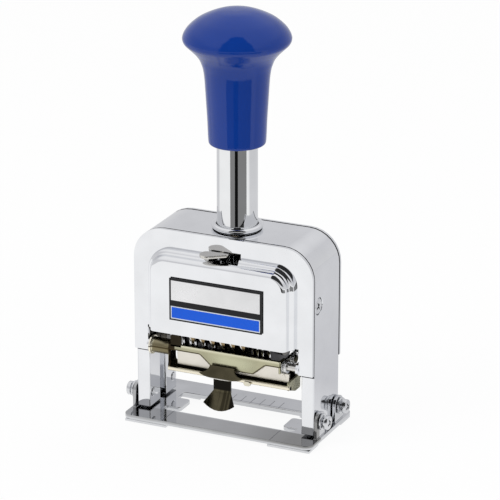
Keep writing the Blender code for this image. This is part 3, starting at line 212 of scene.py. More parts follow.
def card(name, corners, brightness):
    """Flat card of the room that only the bright metal and the plastic show, not the camera."""
    mesh = bpy.data.meshes.new(name)
    mesh.from_pydata(corners, [], [range(len(corners))])
    made = in_scene(name, mesh)
    matt, shader, _ = new_finish(name)
    shader.inputs["Base Color"].default_value = (0, 0, 0, 1)
    shader.inputs["Roughness"].default_value = 1
    shader.inputs["Specular IOR Level"].default_value = 0
    shader.inputs["Emission Color"].default_value = (brightness, brightness, brightness, 1)
    shader.inputs["Emission Strength"].default_value = 1
    mesh.materials.append(matt)
    made.visible_camera = False
    made.visible_diffuse = False
    made.visible_shadow = False
    made.visible_transmission = False


def wedge(first, last, height, lean=0.0):
    """Corners of a sector just over the floor, between two compass turns, with the inner arc's first
    turn moved by lean."""
    turn = np.radians(np.linspace(first, last, 12))
    near_turn = np.radians(np.linspace(first + lean, last, 12))
    level = np.full(len(turn), height)
    inner = np.stack((CARD_NEAR * np.cos(near_turn), CARD_NEAR * np.sin(near_turn), level), 1)
    outer = np.stack((CARD_FAR * np.cos(turn), CARD_FAR * np.sin(turn), level), 1)
    return np.vstack((inner, outer[::-1])).tolist()


def screen(first, last, low, high):
    """Corners of a card round the machine, between two compass turns and two angles of rise."""
    turn, rise = np.radians([(first, low), (last, low), (last, high), (first, high)]).T
    return np.stack((CARD_AWAY * np.cos(turn) * np.cos(rise), CARD_AWAY * np.sin(turn) * np.cos(rise),
                     CARD_AWAY * np.sin(rise) + ROOM_MIDDLE), 1).tolist()


card("front_dark_room", screen(-104, -28, 9, 78), 0.03)
card("front_grey_card", wedge(-107, -13, 0.0004, lean=3), 0.24)
card("front_dark_card", wedge(-79, -62, 0.0008), 0.006)

floor_mesh = bpy.data.meshes.new("floor")
floor_corners = [(x * FLOOR_REACH, y * FLOOR_REACH, 0) for x, y in ((-1, -1), (1, -1), (1, 1), (-1, 1))]
floor_mesh.from_pydata(floor_corners, [], [(0, 1, 2, 3)])
floor = in_scene("floor", floor_mesh)
paper, paper_shader, sheet = new_finish("white paper")
paper_shader.inputs["Base Color"].default_value = FLOOR_COLOUR
paper_shader.inputs["Roughness"].default_value = 0.9
paper_shader.inputs["Specular IOR Level"].default_value = 0.1
camera_ray = sheet.node("ShaderNodeLightPath", {}, {})
glossy_ray = camera_ray.other("Is Glossy Ray")
whitened = camera_ray * SEEN_GLOW + glossy_ray * MIRRORED_GLOW
depth = sheet.node("ShaderNodeSeparateXYZ", {}, {0: sheet.node("ShaderNodeTexCoord", {}, {}, "Object")}, "Y")
tone = (glossy_ray * depth.above(SHADE_START, SHADE_SOFT)).mixed(WHITE, FLOOR_SHADE)
white = sheet.node("ShaderNodeEmission", {}, {"Color": tone, "Strength": 1.0})
blend = paper.node_tree.nodes.new("ShaderNodeMixShader")
whitened.link(blend, 0)
paper.node_tree.links.new(paper_shader.outputs[0], blend.inputs[1])
white.link(blend, 2)
paper.node_tree.links.new(blend.outputs[0], paper.node_tree.nodes["Material Output"].inputs["Surface"])
floor_mesh.materials.append(paper)

for lamp_name, place, size, power in (("key", (-0.55, -0.65, 0.95), 0.7, 4.5),
                                      ("fill", (0.95, -0.35, 0.55), 0.6, 1.5),
                                      ("top", (0.1, 0.35, 1.1), 0.8, 2.0)):
    lamp = in_scene(lamp_name, bpy.data.lights.new(lamp_name, "AREA"))
    lamp.data.shape = "DISK"
    lamp.data.size = size
    lamp.data.energy = power
    lamp.location = place
    lamp.visible_glossy = False
    lamp.rotation_euler = (lamp.location - Vector((0, 0, ROOM_MIDDLE))).to_track_quat("Z", "Y").to_euler()

# Base plate and feet
# Stamped 1.5 mm steel plate, polished and chromed, with a window for the print line and four
# upturned lugs. Lines for placing the paper are scribed into its top, and steel strips are
# spot-welded under its corners.
CHROME, STEEL, PLATE = (0.86, 0.87, 0.89), (0.74, 0.75, 0.77), (0.66, 0.67, 0.69)
BAR_MIDDLE, BAR_HALF, LUG_START = -0.0138, 0.0048, 0.0020
SCRIBED = 0.00012
CORNER_LINE, CORNER_MIDDLE, CORNER_REACH = 0.0200, -0.0132, 0.0046
TICK_PITCH, TICK_SHIFT, TICKS_MIDDLE, TICKS_REACH = 0.0036, 0.0006, 0.00225, 0.0095
TICK_MIDDLE, TICK_REACH = 0.0112, 0.0026
REAR_LINE, REAR_MIDDLE, REAR_REACH = 0.0092, 0.008, 0.019


def metal(name, colour, roughness, dust=0.03, peel=0.02, grain=(9000, 9000, 600), scratch=0.04):
    """Metal whose tint and gloss drift from place to place, with fine scratches along one way."""
    made, shader, start = new_finish(name)
    shader.inputs["Metallic"].default_value = 1.0
    place = start.node("ShaderNodeTexCoord", {}, {}, "Object")
    cloud = start.node("ShaderNodeTexNoise", {}, {"Vector": place, "Scale": 90.0, "Detail": 4.0})
    fine = start.node("ShaderNodeTexNoise", {}, {"Vector": place, "Scale": 900.0, "Detail": 3.0})
    run = start.node("ShaderNodeVectorMath", {"operation": "MULTIPLY"}, {0: place, 1: grain})
    lines = start.node("ShaderNodeTexNoise", {}, {"Vector": run, "Scale": 1.0, "Detail": 2.0})
    marks = lines.above(0.66, 0.06) * cloud.above(0.5, 0.2)
    darker = tuple(value * (1 - dust * 3) for value in colour)
    cloud.above(0.52, 0.5).mixed((*colour, 1), (*darker, 1)).link(shader, "Base Color")
    gloss = roughness + (cloud - 0.5) * (dust * 1.2) + marks * scratch
    gloss.clamped().link(shader, "Roughness")
    height = fine * peel + lines * (peel * 0.5) - marks * peel
    bump = start.node("ShaderNodeBump", {}, {"Height": height, "Strength": 0.12, "Distance": 0.0002})
    bump.link(shader, "Normal")
    return made


def places(made):
    """X, Y and Z on the object, as values in a finish."""
    start = Shade(made.node_tree)
    split = start.node("ShaderNodeSeparateXYZ", {}, {0: start.node("ShaderNodeTexCoord", {}, {}, "Object")})
    return split, split.other("Y"), split.other("Z")


def tinted(made, mask, colour, dull=0.0):
    """Lays a colour over a finish where mask is 1, and makes it duller there by dull."""
    shader = made.node_tree.nodes["Principled BSDF"]
    old = Shade(made.node_tree, shader.inputs["Base Color"].links[0].from_socket)
    mask.mixed(old, (*colour, 1)).link(shader, "Base Color")
    if dull:
        rough = Shade(made.node_tree, shader.inputs["Roughness"].links[0].from_socket)
        (rough + mask * dull).clamped().link(shader, "Roughness")


def softened(node, finish, width=0.00012):
    """Copy of a CAD solid, its loose triangles merged into whole faces and its edges rounded by
    width. It takes the solid's place and body, and the solid is hidden."""
    solid = frame["nodes"][node]
    form = bmesh.new()
    form.from_mesh(solid.data)
    bmesh.ops.remove_doubles(form, verts=form.verts, dist=2e-6)
    bmesh.ops.dissolve_limit(form, angle_limit=math.radians(0.5), verts=form.verts, edges=form.edges)
    mesh = bpy.data.meshes.new(f"{node}_rounded")
    form.to_mesh(mesh)
    form.free()
    mesh.materials.clear()
    mesh.materials.append(finish)
    mesh.shade_smooth()
    made = in_scene(f"{node}_rounded", mesh)
    rounding = made.modifiers.new("rounding", "BEVEL")
    rounding.width = width
    rounding.segments = 2
    rounding.limit_method = "ANGLE"
    rounding.angle_limit = math.radians(35)
    rounding.use_clamp_overlap = False
    made.modifiers.new("flat faces", "WEIGHTED_NORMAL").keep_sharp = True
    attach(made, next(name for name, body in frame["bodies"].items() if body == solid.parent))
    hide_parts(node)


def paint(finish, *nodes):
    """Gives CAD nodes one finish."""
    for node in nodes:
        for slot in frame["nodes"][node].material_slots:
            slot.material = finish


plate_chrome = metal("plate chrome", PLATE, 0.05, dust=0.05)
plate_x, plate_y, plate_z = places(plate_chrome)
front_bar = plate_y.bands(BAR_MIDDLE, BAR_HALF, 0.0004) * plate_z.above(LUG_START, 0.0004)
# Dirt and painted shade: the front bar is darker and duller all along as dirt, and darker still towards the
# right as painted shade for the dark inner parts it reflects there.
bar_dirt_and_shade = front_bar * (0.34 + plate_x.above(0.016, 0.02) * 0.3)
tinted(plate_chrome, bar_dirt_and_shade, (0.10, 0.095, 0.08), dull=0.05)
corner_lines = (abs(plate_x) - CORNER_LINE).bands(0.0, SCRIBED, SCRIBED)
corner_lines = corner_lines * plate_y.bands(CORNER_MIDDLE, CORNER_REACH, 0.0001)
steps = (plate_x - TICK_SHIFT) / TICK_PITCH
ticks = steps.maths("PINGPONG", steps, 0.5).bands(0.0, 0.03, 0.03)
ticks = ticks * plate_x.bands(TICKS_MIDDLE, TICKS_REACH, 0.0001)
ticks = ticks * plate_y.bands(TICK_MIDDLE, TICK_REACH, 0.0001)
rear_line = plate_y.bands(REAR_LINE, SCRIBED, SCRIBED) * plate_x.bands(REAR_MIDDLE, REAR_REACH, 0.0001)
tinted(plate_chrome, (corner_lines + ticks + rear_line).clamped(), (0.13, 0.13, 0.15), dull=0.3)
chrome = metal("chrome", CHROME, 0.04)
bright_steel = metal("bright steel", STEEL, 0.16, dust=0.05, scratch=0.08)

softened("base_plate", plate_chrome, 0.0002)
for corner in ("front_left", "front_right", "rear_left", "rear_right"):
    softened(f"foot_strip_{corner}", bright_steel)

# Frame
# Thick steel arch, 66 mm wide and 21 mm deep, ground, polished and chromed; its legs are grooved
# inside for the carriage and screwed to the lugs of the base plate.
FRAME_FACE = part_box("frame")[1][1]
FRAME_SIDE = 0.0325
COVER_LOW, COVER_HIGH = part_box("back_cover")[0][2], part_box("back_cover")[1][2]
SEAM_SHADE, SEAM_WIDTH, SEAM_BELOW = (0.012, 0.012, 0.014), 0.00016, 0.00105
FOOT_LINE, FOOT_LINE_TINT = 0.0034, (0.1, 0.1, 0.11)
SIDE_SHADE, SIDE_SHADE_END = (0.55, 0.56, 0.6), 0.045
SCREW_BACK, SCREW_HIGH, SCREW_RING, RING_GRIME = -0.0067, 0.0489, 0.00285, (0.05, 0.05, 0.05)

frame_chrome = metal("frame chrome", CHROME, 0.05)
frame_x, frame_y, frame_z = places(frame_chrome)
# Painted shade: the frame's front and back faces and the edges of its sides beside them are near black and
# duller from a little under the covers' lower edge up, so the gaps at the covers read as shadow.
seam_shade = abs(frame_y).above(FRAME_FACE - SEAM_WIDTH, 0.00004)
seam_shade = seam_shade * frame_z.above(COVER_LOW - SEAM_BELOW, 0.0001)
tinted(frame_chrome, seam_shade, SEAM_SHADE, dull=0.6)
# A dark, duller line round the legs a little above their foot.
tinted(frame_chrome, frame_z.bands(FOOT_LINE, 0.0002, 0.0002) * 0.7, FOOT_LINE_TINT, dull=0.2)
frame_side = abs(frame_x).above(FRAME_SIDE, 0.0002)
tinted(frame_chrome, (1 - frame_z.above(SIDE_SHADE_END, 0.06)) * frame_side * 0.3, SIDE_SHADE)
screw_reach = ((frame_y - SCREW_BACK) ** 2.0 + (frame_z - SCREW_HIGH) ** 2.0) ** 0.5
tinted(frame_chrome, screw_reach.bands(SCREW_RING, 0.0001, 0.0001) * frame_side, RING_GRIME)
softened("frame", frame_chrome, 0.0003)

# Base screws and washers
# Pan-head steel screws with a cross recess, zinc plated, each over a washer, two on each side. They
# pass through the lugs into the legs.
PAN_RADIUS, PAN_SIDE, PAN_SHANK, PAN_DOME = 0.0024, 0.0017, 0.00125, 0.0004
SCREW_STEPS, CROSS_TURN = 96, 0.4
CROSS_ARM, CROSS_WALL, CROSS_REACH, CROSS_END, CROSS_DEPTH = 0.10, 0.07, 0.50, 0.12, 0.3
RIM_START, RIM_FALL = 0.96, 0.06
# The cross recesses are coloured near black and rough.
dark_recess_finish = metal("dark recess", (0.06, 0.06, 0.06), 0.5, dust=0.1)


def joined_rows(name, points, around, ends):
    """Mesh of a grid of points whose rows are joined in turn. Its columns, and its rows if ends is
    'ring', close on themselves; ends 'caps' closes the first and last row with a flat face."""
    rows, columns = points.shape[:2]
    low = np.arange(rows - (ends != "ring"))[:, None]
    column = np.arange(columns - (not around))[None]
    high, beside = (low + 1) % rows, (column + 1) % columns
    faces = np.stack(np.broadcast_arrays(low * columns + column, low * columns + beside,
                                         high * columns + beside, high * columns + column), 2)
    faces = faces.reshape(-1, 4).tolist()
    if ends == "caps":
        faces += [list(range(columns - 1, -1, -1)), list(range((rows - 1) * columns, rows * columns))]
    mesh = bpy.data.meshes.new(name)
    mesh.from_pydata(points.reshape(-1, 3).tolist(), [], faces)
    return mesh


def closed_up(mesh, reach):
    """Merges the points of a mesh that lie within reach, and turns its faces outward."""
    form = bmesh.new()
    form.from_mesh(mesh)
    bmesh.ops.remove_doubles(form, verts=form.verts, dist=reach)
    bmesh.ops.recalc_face_normals(form, faces=form.faces)
    form.to_mesh(mesh)
    form.free()


def two_finishes(mesh, first, second, shares):
    """Gives a mesh two finishes, the second on the faces whose share is 1."""
    mesh.materials.append(first)
    mesh.materials.append(second)
    mesh.polygons.foreach_set("material_index", np.asarray(shares, np.int32))


def placed(mesh, finish, slot, body, *nodes, sharp=35):
    """Makes a mesh a finished piece with its faces outward, and says what it rides on and replaces."""
    closed_up(mesh, 1e-6)
    if not mesh.materials:
        mesh.materials.append(finish)
    mesh.shade_smooth()
    mesh.set_sharp_from_angle(angle=math.radians(sharp))
    made = in_scene(mesh.name, mesh)
    made.modifiers.new("flat faces", "WEIGHTED_NORMAL").keep_sharp = True
    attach(made, body)
    if nodes:
        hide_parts(*nodes)
    return made


def cross_screw(name, node, radius, rise, shank, dome):
    """Screw about X. Over radius r and turn t its face stands at a dome, dome * (1 - (r/R)^2), less a
    cross-shaped recess with sloping walls; its side and a shank to its tip close it behind."""
    low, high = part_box(node)
    centre = ((low[1] + high[1]) / 2, (low[2] + high[2]) / 2)
    tip, face = (low[0], high[0]) if low[0] > 0 else (high[0], low[0])
    side = 1 if face > 0 else -1
    turn = np.linspace(0, 2 * math.pi, SCREW_STEPS, endpoint=False)
    ring = np.concatenate((np.linspace(0.02, 0.94, 26), (0.97, 0.99, 1.0)))[:, None] * radius
    fall = radius * RIM_FALL * np.clip((ring / radius - RIM_START) / (1 - RIM_START), 0, 1)
    cap = dome * (1 - (ring / radius) ** 2) - fall
    y, z = ring * np.cos(turn + CROSS_TURN), ring * np.sin(turn + CROSS_TURN)
    across, along = abs(ring * np.cos(turn)), abs(ring * np.sin(turn))
    arm = np.clip(1 - (np.minimum(across, along) - radius * CROSS_ARM) / (radius * CROSS_WALL), 0, 1)
    end = np.clip(1 - (np.maximum(across, along) - radius * CROSS_REACH) / (radius * CROSS_END), 0, 1)
    cross = arm * end
    depth = face + side * (cap - dome - cross * radius * CROSS_DEPTH)
    rows = [np.stack((depth + 0 * y, centre[0] + y, centre[1] + z), 2)]
    for wall, place in ((radius, face - side * rise), (shank, face - side * rise), (shank, tip)):
        rows.append(np.stack((np.full(SCREW_STEPS, place), centre[0] + wall * np.cos(turn + CROSS_TURN),
                              centre[1] + wall * np.sin(turn + CROSS_TURN)), 1)[None])
    mesh = joined_rows(name, np.concatenate(rows), True, "caps")
    recess = np.zeros(len(mesh.polygons))
    recess[:(len(ring) - 1) * SCREW_STEPS] = (cross[:-1] + cross[1:] > 0.7).ravel()
    recess[(len(ring) + 2) * SCREW_STEPS] = 1
    two_finishes(mesh, bright_steel, dark_recess_finish, recess)
    placed(mesh, bright_steel, "bright_steel", "base", node, sharp=40)


for number in range(1, 5):
    cross_screw(f"pan_screw_{number}", f"base_screw_{number}", PAN_RADIUS, PAN_SIDE, PAN_SHANK, PAN_DOME)
    softened(f"base_washer_{number}", bright_steel, 0.00015)

# Guide ring
# A turned and chromed sleeve pressed into the roof, with a rounded collar on top that the tube
# slides in.
RING_LOW, RING_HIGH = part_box("guide_bush")[0][2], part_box("guide_bush")[1][2]
BORE, SLEEVE, COLLAR_BACK, LIP, LIP_FALL = 0.0071, 0.0079, 0.0082, 0.0074, 0.0003
COLLAR_RADIUS, COLLAR_ROUND, COLLAR_MIDDLE, COLLAR_HALF = 0.0080, 0.0008, 0.07085, 0.00085
COLLAR_FOOT, COLLAR_START, ROUND_STEPS = 0.0698, 0.07, 128


def turned_piece(name, profile, steps, finish, slot, body, *nodes, ends="ring", sharp=40):
    """Surface of revolution about Z: point (r cos t, r sin t, z) for each profile point (r, z) and
    each of steps turns t."""
    profile = np.asarray(profile, float)
    turn = np.linspace(0, 2 * math.pi, steps, endpoint=False)
    radius, height = profile[:, :1], profile[:, 1:]
    points = np.stack((radius * np.cos(turn), radius * np.sin(turn), height + 0 * turn), 2)
    placed(joined_rows(name, points, True, ends), finish, slot, body, *nodes, sharp=sharp)


collar_turn = np.linspace(-math.pi / 2, math.pi / 2, 9)
collar = np.stack((COLLAR_RADIUS + COLLAR_ROUND * np.cos(collar_turn),
                   COLLAR_MIDDLE + COLLAR_HALF * np.sin(collar_turn)), 1)
sleeve_line = [(BORE, RING_LOW), (SLEEVE, RING_LOW), (SLEEVE, COLLAR_FOOT), (COLLAR_BACK, COLLAR_START)]
guide_line = np.vstack((sleeve_line, collar, [(LIP, RING_HIGH), (BORE, RING_HIGH - LIP_FALL)]))
turned_piece("guide_ring", guide_line, ROUND_STEPS, chrome, "chrome", "base", "guide_bush")

# Plunger tube
# Chromed steel tube, 13.8 mm across, that drives the carriage down. A wound steel spring inside it,
# between a cap and a seat on a fixed cross pin, pushes it up again.
SPRING_RADIUS, WIRE_RADIUS, SPRING_TURNS, STROKE = 0.0044, 0.00055, 13, 0.0212
COIL_STEPS, WIRE_STEPS = 30, 12
SPRING_LOW, SPRING_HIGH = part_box("main_spring")[0][2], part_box("main_spring")[1][2]

tube_chrome = metal("tube chrome", (0.84, 0.85, 0.86), 0.03, grain=(200, 200, 9000))
softened("plunger_tube", tube_chrome, 0.0001)
spring_steel = metal("spring steel", (0.4, 0.41, 0.43), 0.3, dust=0.08)
paint(bright_steel, "spring_cap", "spring_seat", "spring_pin")


def coiled_spring():
    """Round wire whose centre goes round n times as it rises: slowly in the first and the last turn,
    which lie close, and evenly in the others."""
    turns = np.linspace(0, SPRING_TURNS, SPRING_TURNS * COIL_STEPS + 1)[:, None]
    around = np.linspace(0, 2 * math.pi, WIRE_STEPS, endpoint=False)[None]
    close = WIRE_RADIUS * 2.1
    lying = np.clip(turns, 0, 1) + np.clip(turns - SPRING_TURNS + 1, 0, 1)
    rise = SPRING_LOW + WIRE_RADIUS + close * lying
    free = SPRING_HIGH - SPRING_LOW - 2 * WIRE_RADIUS - 2 * close
    rise = rise + free * np.clip((turns - 1) / (SPRING_TURNS - 2), 0, 1)
    reach = SPRING_RADIUS + WIRE_RADIUS * np.cos(around)
    turn = turns * 2 * math.pi
    return np.stack((reach * np.cos(turn), reach * np.sin(turn), rise + WIRE_RADIUS * np.sin(around)), 2)


spring = placed(joined_rows("coiled_spring", coiled_spring(), True, "caps"), spring_steel, "spring_steel",
                "plunger", "main_spring")
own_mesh(spring)

# Knob
# Glossy blue moulded plastic: a slim round grip that flares under a wide crown, pressed on the end
# of the tube.
BLUE = (0.004, 0.040, 0.28)


def curve_through(points, per_span):
    """Smooth line through points: on each span a cubic whose slopes come from its neighbours."""
    points = np.asarray(points, float)
    before = np.vstack((2 * points[:1] - points[1:2], points[:-1]))
    after = np.vstack((points[1:], 2 * points[-1:] - points[-2:-1]))
    slope = (after - before) / 2
    share = np.linspace(0, 1, per_span, endpoint=False)[None, :, None]
    first, second = points[:-1, None], points[1:, None]
    lean, next_lean = slope[:-1, None], slope[1:, None]
    line = ((2 * share ** 3 - 3 * share ** 2 + 1) * first + (share ** 3 - 2 * share ** 2 + share) * lean
            + (3 * share ** 2 - 2 * share ** 3) * second + (share ** 3 - share ** 2) * next_lean)
    return np.vstack((line.reshape(-1, 2), points[-1:]))


def blue_plastic():
    """Blue plastic with faint flow marks in its colour and gloss."""
    made, shader, start = new_finish("blue plastic")
    shader.inputs["Coat Weight"].default_value = 0.15
    shader.inputs["Coat Roughness"].default_value = 0.03
    shader.inputs["Specular IOR Level"].default_value = 0.26
    place = start.node("ShaderNodeTexCoord", {}, {}, "Object")
    cloud = start.node("ShaderNodeTexNoise", {}, {"Vector": place, "Scale": 60.0, "Detail": 3.0})
    fine = start.node("ShaderNodeTexNoise", {}, {"Vector": place, "Scale": 1400.0, "Detail": 2.0})
    deep = tuple(value * 0.88 for value in BLUE)
    cloud.above(0.5, 0.6).mixed((*deep, 1), (*BLUE, 1)).link(shader, "Base Color")
    (0.08 + (cloud - 0.5) * 0.05 + fine * 0.03).link(shader, "Roughness")
    bump = start.node("ShaderNodeBump", {}, {"Height": fine, "Strength": 0.05, "Distance": 0.0001})
    bump.link(shader, "Normal")
    return made


knob_line = [(8.4, 99.6), (9.1, 99.62), (9.5, 99.9), (9.66, 100.6), (9.8, 103.0), (10.0, 108.0),
             (10.3, 113.0), (10.6, 118.0), (10.87, 122.0), (11.27, 125.0), (11.83, 127.0),
             (12.7, 129.0), (14.2, 131.0), (16.2, 133.0), (17.7, 134.5), (18.15, 135.7),
             (18.0, 136.7), (17.55, 137.7), (16.68, 139.0), (15.2, 140.5), (13.3, 142.0),
             (11.12, 143.2), (8.65, 144.3), (5.9, 145.2), (2.9, 145.62), (0.02, 145.7)]
knob_inside = np.array([(0.02, 118.3), (7.0, 118.3), (7.0, 99.6), (8.2, 99.6)]) / 1000
knob_outline = np.vstack((knob_inside, curve_through(knob_line, 6)[1:] / 1000))
turned_piece("knob_grip", knob_outline, ROUND_STEPS, blue_plastic(), "blue_plastic", "plunger", "knob",
             ends="caps", sharp=60)

# Carriage, axle and comb rod
# Milled and ground steel slide that runs in the legs' grooves. It carries the rod of the comb and
# the wheels' axle, which two clips hold.
dark_steel = metal("oiled steel", (0.22, 0.21, 0.19), 0.3, dust=0.1, scratch=0.1)
paint(dark_steel, "carriage")
paint(bright_steel, "wheel_axle", "detent_rod", "axle_clip_left", "axle_clip_right")

# Number wheels
# Six blackened steel wheels with ten raised mirrored figures each. A bright ground disc and a ratchet
# with a tooth for each figure stand on the right of each type ring.
AXLE = 0.031
TYPE_RADIUS, VALLEY_RADIUS, DISC_RADIUS = 0.00945, 0.0089, 0.0092
RATCHET_RADIUS, RATCHET_ROOT = 0.0078, 0.0069
WHEEL_BORE, WHEEL_STEPS = 0.0026, 240
EDGE, TYPE_END, DISC_START, DISC_END = 0.0002, 0.00225, 0.0025, 0.00278
RATCHET_START, WHEEL_END = 0.00282, 0.0033
FLAT_HALF, FLAT_SLOPE, TYPE_FALL = 0.44, 0.05, 0.00025
BRIGHT_ROWS = (3, 4, 5, 6)
FIGURE_HEIGHT, FIGURE_WIDTH, FIGURE_RISE, FIGURE_MIDDLE = 0.0042, 0.0019, 0.00015, 0.0012
TENTH = math.pi / 5

blackened = metal("blackened steel", (0.045, 0.045, 0.05), 0.34, dust=0.1, scratch=0.15)
ink_worn = metal("worn type", (0.1, 0.1, 0.105), 0.3, dust=0.12, scratch=0.1)


def figure_faces(index):
    """Raised figures bent round the wheel: a flat figure's x goes mirrored along the axle, its y to
    the turn y / R, and its height to the radius."""
    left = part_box(f"number_wheel_{index}")[0][0]
    points, faces = [], []
    for figure in range(10):
        words = bpy.data.curves.new("figure", "FONT")
        words.body = str(figure)
        words.size = FIGURE_HEIGHT * 1.35
        words.extrude = FIGURE_RISE / 2
        words.align_x, words.align_y = "CENTER", "CENTER"
        holder = in_scene("figure", words)
        flat = bpy.data.meshes.new_from_object(holder.evaluated_get(bpy.context.evaluated_depsgraph_get()))
        bpy.data.objects.remove(holder, do_unlink=True)
        bpy.data.curves.remove(words)
        form = bmesh.new()
        form.from_mesh(flat)
        for cut in np.linspace(-0.4, 0.4, 5) * FIGURE_HEIGHT:
            bmesh.ops.bisect_plane(form, geom=form.verts[:] + form.edges[:] + form.faces[:],
                                   plane_co=(0, cut, 0), plane_no=(0, 1, 0))
        form.to_mesh(flat)
        form.free()
        spots = np.empty(len(flat.vertices) * 3)
        flat.vertices.foreach_get("co", spots)
        spots = spots.reshape(-1, 3)
        spots[:, :2] -= (spots[:, :2].min(0) + spots[:, :2].max(0)) / 2
        spots[:, 0] *= FIGURE_WIDTH / max(np.ptp(spots[:, 0]), FIGURE_WIDTH * 0.9)
        turn = -math.pi / 2 + figure * TENTH + spots[:, 1] / TYPE_RADIUS
        radius = TYPE_RADIUS + spots[:, 2]
        start = len(points)
        points.extend(np.stack((left + FIGURE_MIDDLE - spots[:, 0], radius * np.cos(turn),
                                AXLE + radius * np.sin(turn)), 1).tolist())
        faces.extend([start + corner for corner in face.vertices] for face in flat.polygons)
    return points, faces


def number_wheel(index):
    """Wheel about the axle: each profile row is a circle at X whose radius, over turn t, is plain,
    rises to the type ring's ten flats, or falls along the ratchet's ten teeth."""
    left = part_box(f"number_wheel_{index}")[0][0]
    turn = np.linspace(0, 2 * math.pi, WHEEL_STEPS, endpoint=False)
    phase = abs(((turn + math.pi / 2) / TENTH + 0.5) % 1 - 0.5)
    flats = VALLEY_RADIUS + (TYPE_RADIUS - VALLEY_RADIUS) * np.clip((FLAT_HALF - phase) / FLAT_SLOPE, 0, 1)
    tooth = (turn / TENTH) % 1
    ratchet = RATCHET_ROOT + (RATCHET_RADIUS - RATCHET_ROOT) * tooth
    plain = 0 * turn
    profile = [(0, WHEEL_BORE + plain), (0, flats - EDGE), (EDGE, flats), (TYPE_END, flats),
               (TYPE_END + EDGE, flats - TYPE_FALL), (DISC_START, DISC_RADIUS + plain),
               (DISC_END, DISC_RADIUS + plain), (RATCHET_START, ratchet), (WHEEL_END, ratchet),
               (WHEEL_END, WHEEL_BORE + plain)]
    points = np.stack([np.stack((left + x + plain, radius * np.cos(turn), AXLE + radius * np.sin(turn)), 1)
                       for x, radius in profile])
    mesh = joined_rows(f"type_wheel_{index}", points, True, "ring")
    ground = np.isin(np.arange(len(profile)), BRIGHT_ROWS)
    two_finishes(mesh, blackened, bright_steel, np.repeat(ground, WHEEL_STEPS))
    placed(mesh, None, "blackened_steel", f"wheel_{index}", f"number_wheel_{index}")
    raised = bpy.data.meshes.new(f"type_figures_{index}")
    figure_points, faces = figure_faces(index)
    raised.from_pydata(figure_points, [], faces)
    placed(raised, ink_worn, "blackened_steel", f"wheel_{index}")


for index in range(1, 7):
    number_wheel(index)

# End spacers
# Turned steel drums on the axle, one on each side of the wheels, with three rounded ridges whose
# tops are made bright steel as painted highlights.
SPACER_RIDGE, SPACER_SHOULDER, SPACER_GROOVE = 0.0094, 0.0093, 0.0082
DRUM_STEPS, RIDGE_PLACES = 96, (0.1, 0.42, 0.86)
RIDGE_SHAPE = ((-0.00058, SPACER_GROOVE, False), (-0.00045, SPACER_SHOULDER, True),
               (-0.0003, SPACER_RIDGE, True), (0.0003, SPACER_RIDGE, True),
               (0.00045, SPACER_SHOULDER, False), (0.00058, SPACER_GROOVE, False))


def ridged_drum(side, word):
    """Drum about the axle: a profile (x, r) with three rounded ridges, carried round."""
    near, far = sorted(abs(corner[0]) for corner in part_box(f"end_spacer_{word}"))
    line, bright = [(near, WHEEL_BORE)], [False]
    for share in RIDGE_PLACES:
        centre = near + (far - near) * share
        for shift, radius, shiny in RIDGE_SHAPE:
            line.append((centre + shift, radius))
            bright.append(shiny)
    line.append((far, WHEEL_BORE))
    bright.append(False)
    turn = np.linspace(0, 2 * math.pi, DRUM_STEPS, endpoint=False)
    line = np.asarray(line)
    x, radius = side * line[:, :1], line[:, 1:]
    points = np.stack((x + 0 * turn, radius * np.cos(turn), AXLE + radius * np.sin(turn)), 2)
    mesh = joined_rows(f"ridged_drum_{word}", points, True, "ring")
    # Painted highlight: the ridge tops take bright steel and the rest blackened steel.
    two_finishes(mesh, blackened, bright_steel, np.repeat(bright, DRUM_STEPS))
    placed(mesh, None, "blackened_steel", "plunger", f"end_spacer_{word}")


ridged_drum(-1, "left")
ridged_drum(1, "right")

# Comb
# Brass spring comb, bent round the wheels and held by its rod, whose tapered teeth reach below the
# hood's edge and keep the wheels in place.
COMB_RADIUS, COMB_SHEET = 0.01015, 0.0005
COMB_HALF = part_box("detent_comb")[1][0]
TOOTH_PITCH, TOOTH_HALF, FIRST_TOOTH = 0.00376, 0.0014, -0.0124
TAPER_LEFT, TAPER_RIGHT = 0.0017, 0.0006
TAPER_HIGH, TAPER_LEAN, PALE_EDGE_TOP = 0.0326, 0.57, 0.0334
COMB_TEETH = np.arange(6) * TOOTH_PITCH + FIRST_TOOTH
COMB_START, COMB_BAND, COMB_SHOULDER, COMB_TIP = np.radians((125.5, 164, 171, 189))


def strip_round(x_near, x_far, start, end, steps):
    """Grid of points on a cylinder round the axle, between two turns and two X that vary with turn."""
    turn = np.linspace(start, end, steps)
    share = np.linspace(0, 1, steps)
    edges = [x[0] + (x[1] - x[0]) * share for x in (x_near, x_far)]
    rim = np.stack((COMB_RADIUS * np.cos(turn), AXLE + COMB_RADIUS * np.sin(turn)), 1)
    return np.stack([np.column_stack((edge, rim)) for edge in edges], 1)


def sheet_mesh(name, grids, plates=()):
    """Mesh of separate grids of points, each joined row to row, and of flat plates, with its doubled
    points merged and its faces turned outward."""
    points, faces = [], []
    for grid in grids:
        start = len(points)
        rows, columns = grid.shape[:2]
        points.extend(grid.reshape(-1, 3).tolist())
        low = start + np.arange(rows - 1)[:, None] * columns + np.arange(columns - 1)
        faces.extend(np.stack((low, low + 1, low + columns + 1, low + columns), 2).reshape(-1, 4).tolist())
    for plate in plates:
        start = len(points)
        points.extend(np.asarray(plate).tolist())
        faces.append(list(range(start, len(points))))
    mesh = bpy.data.meshes.new(name)
    mesh.from_pydata(points, [], faces)
    closed_up(mesh, 2e-6)
    return mesh


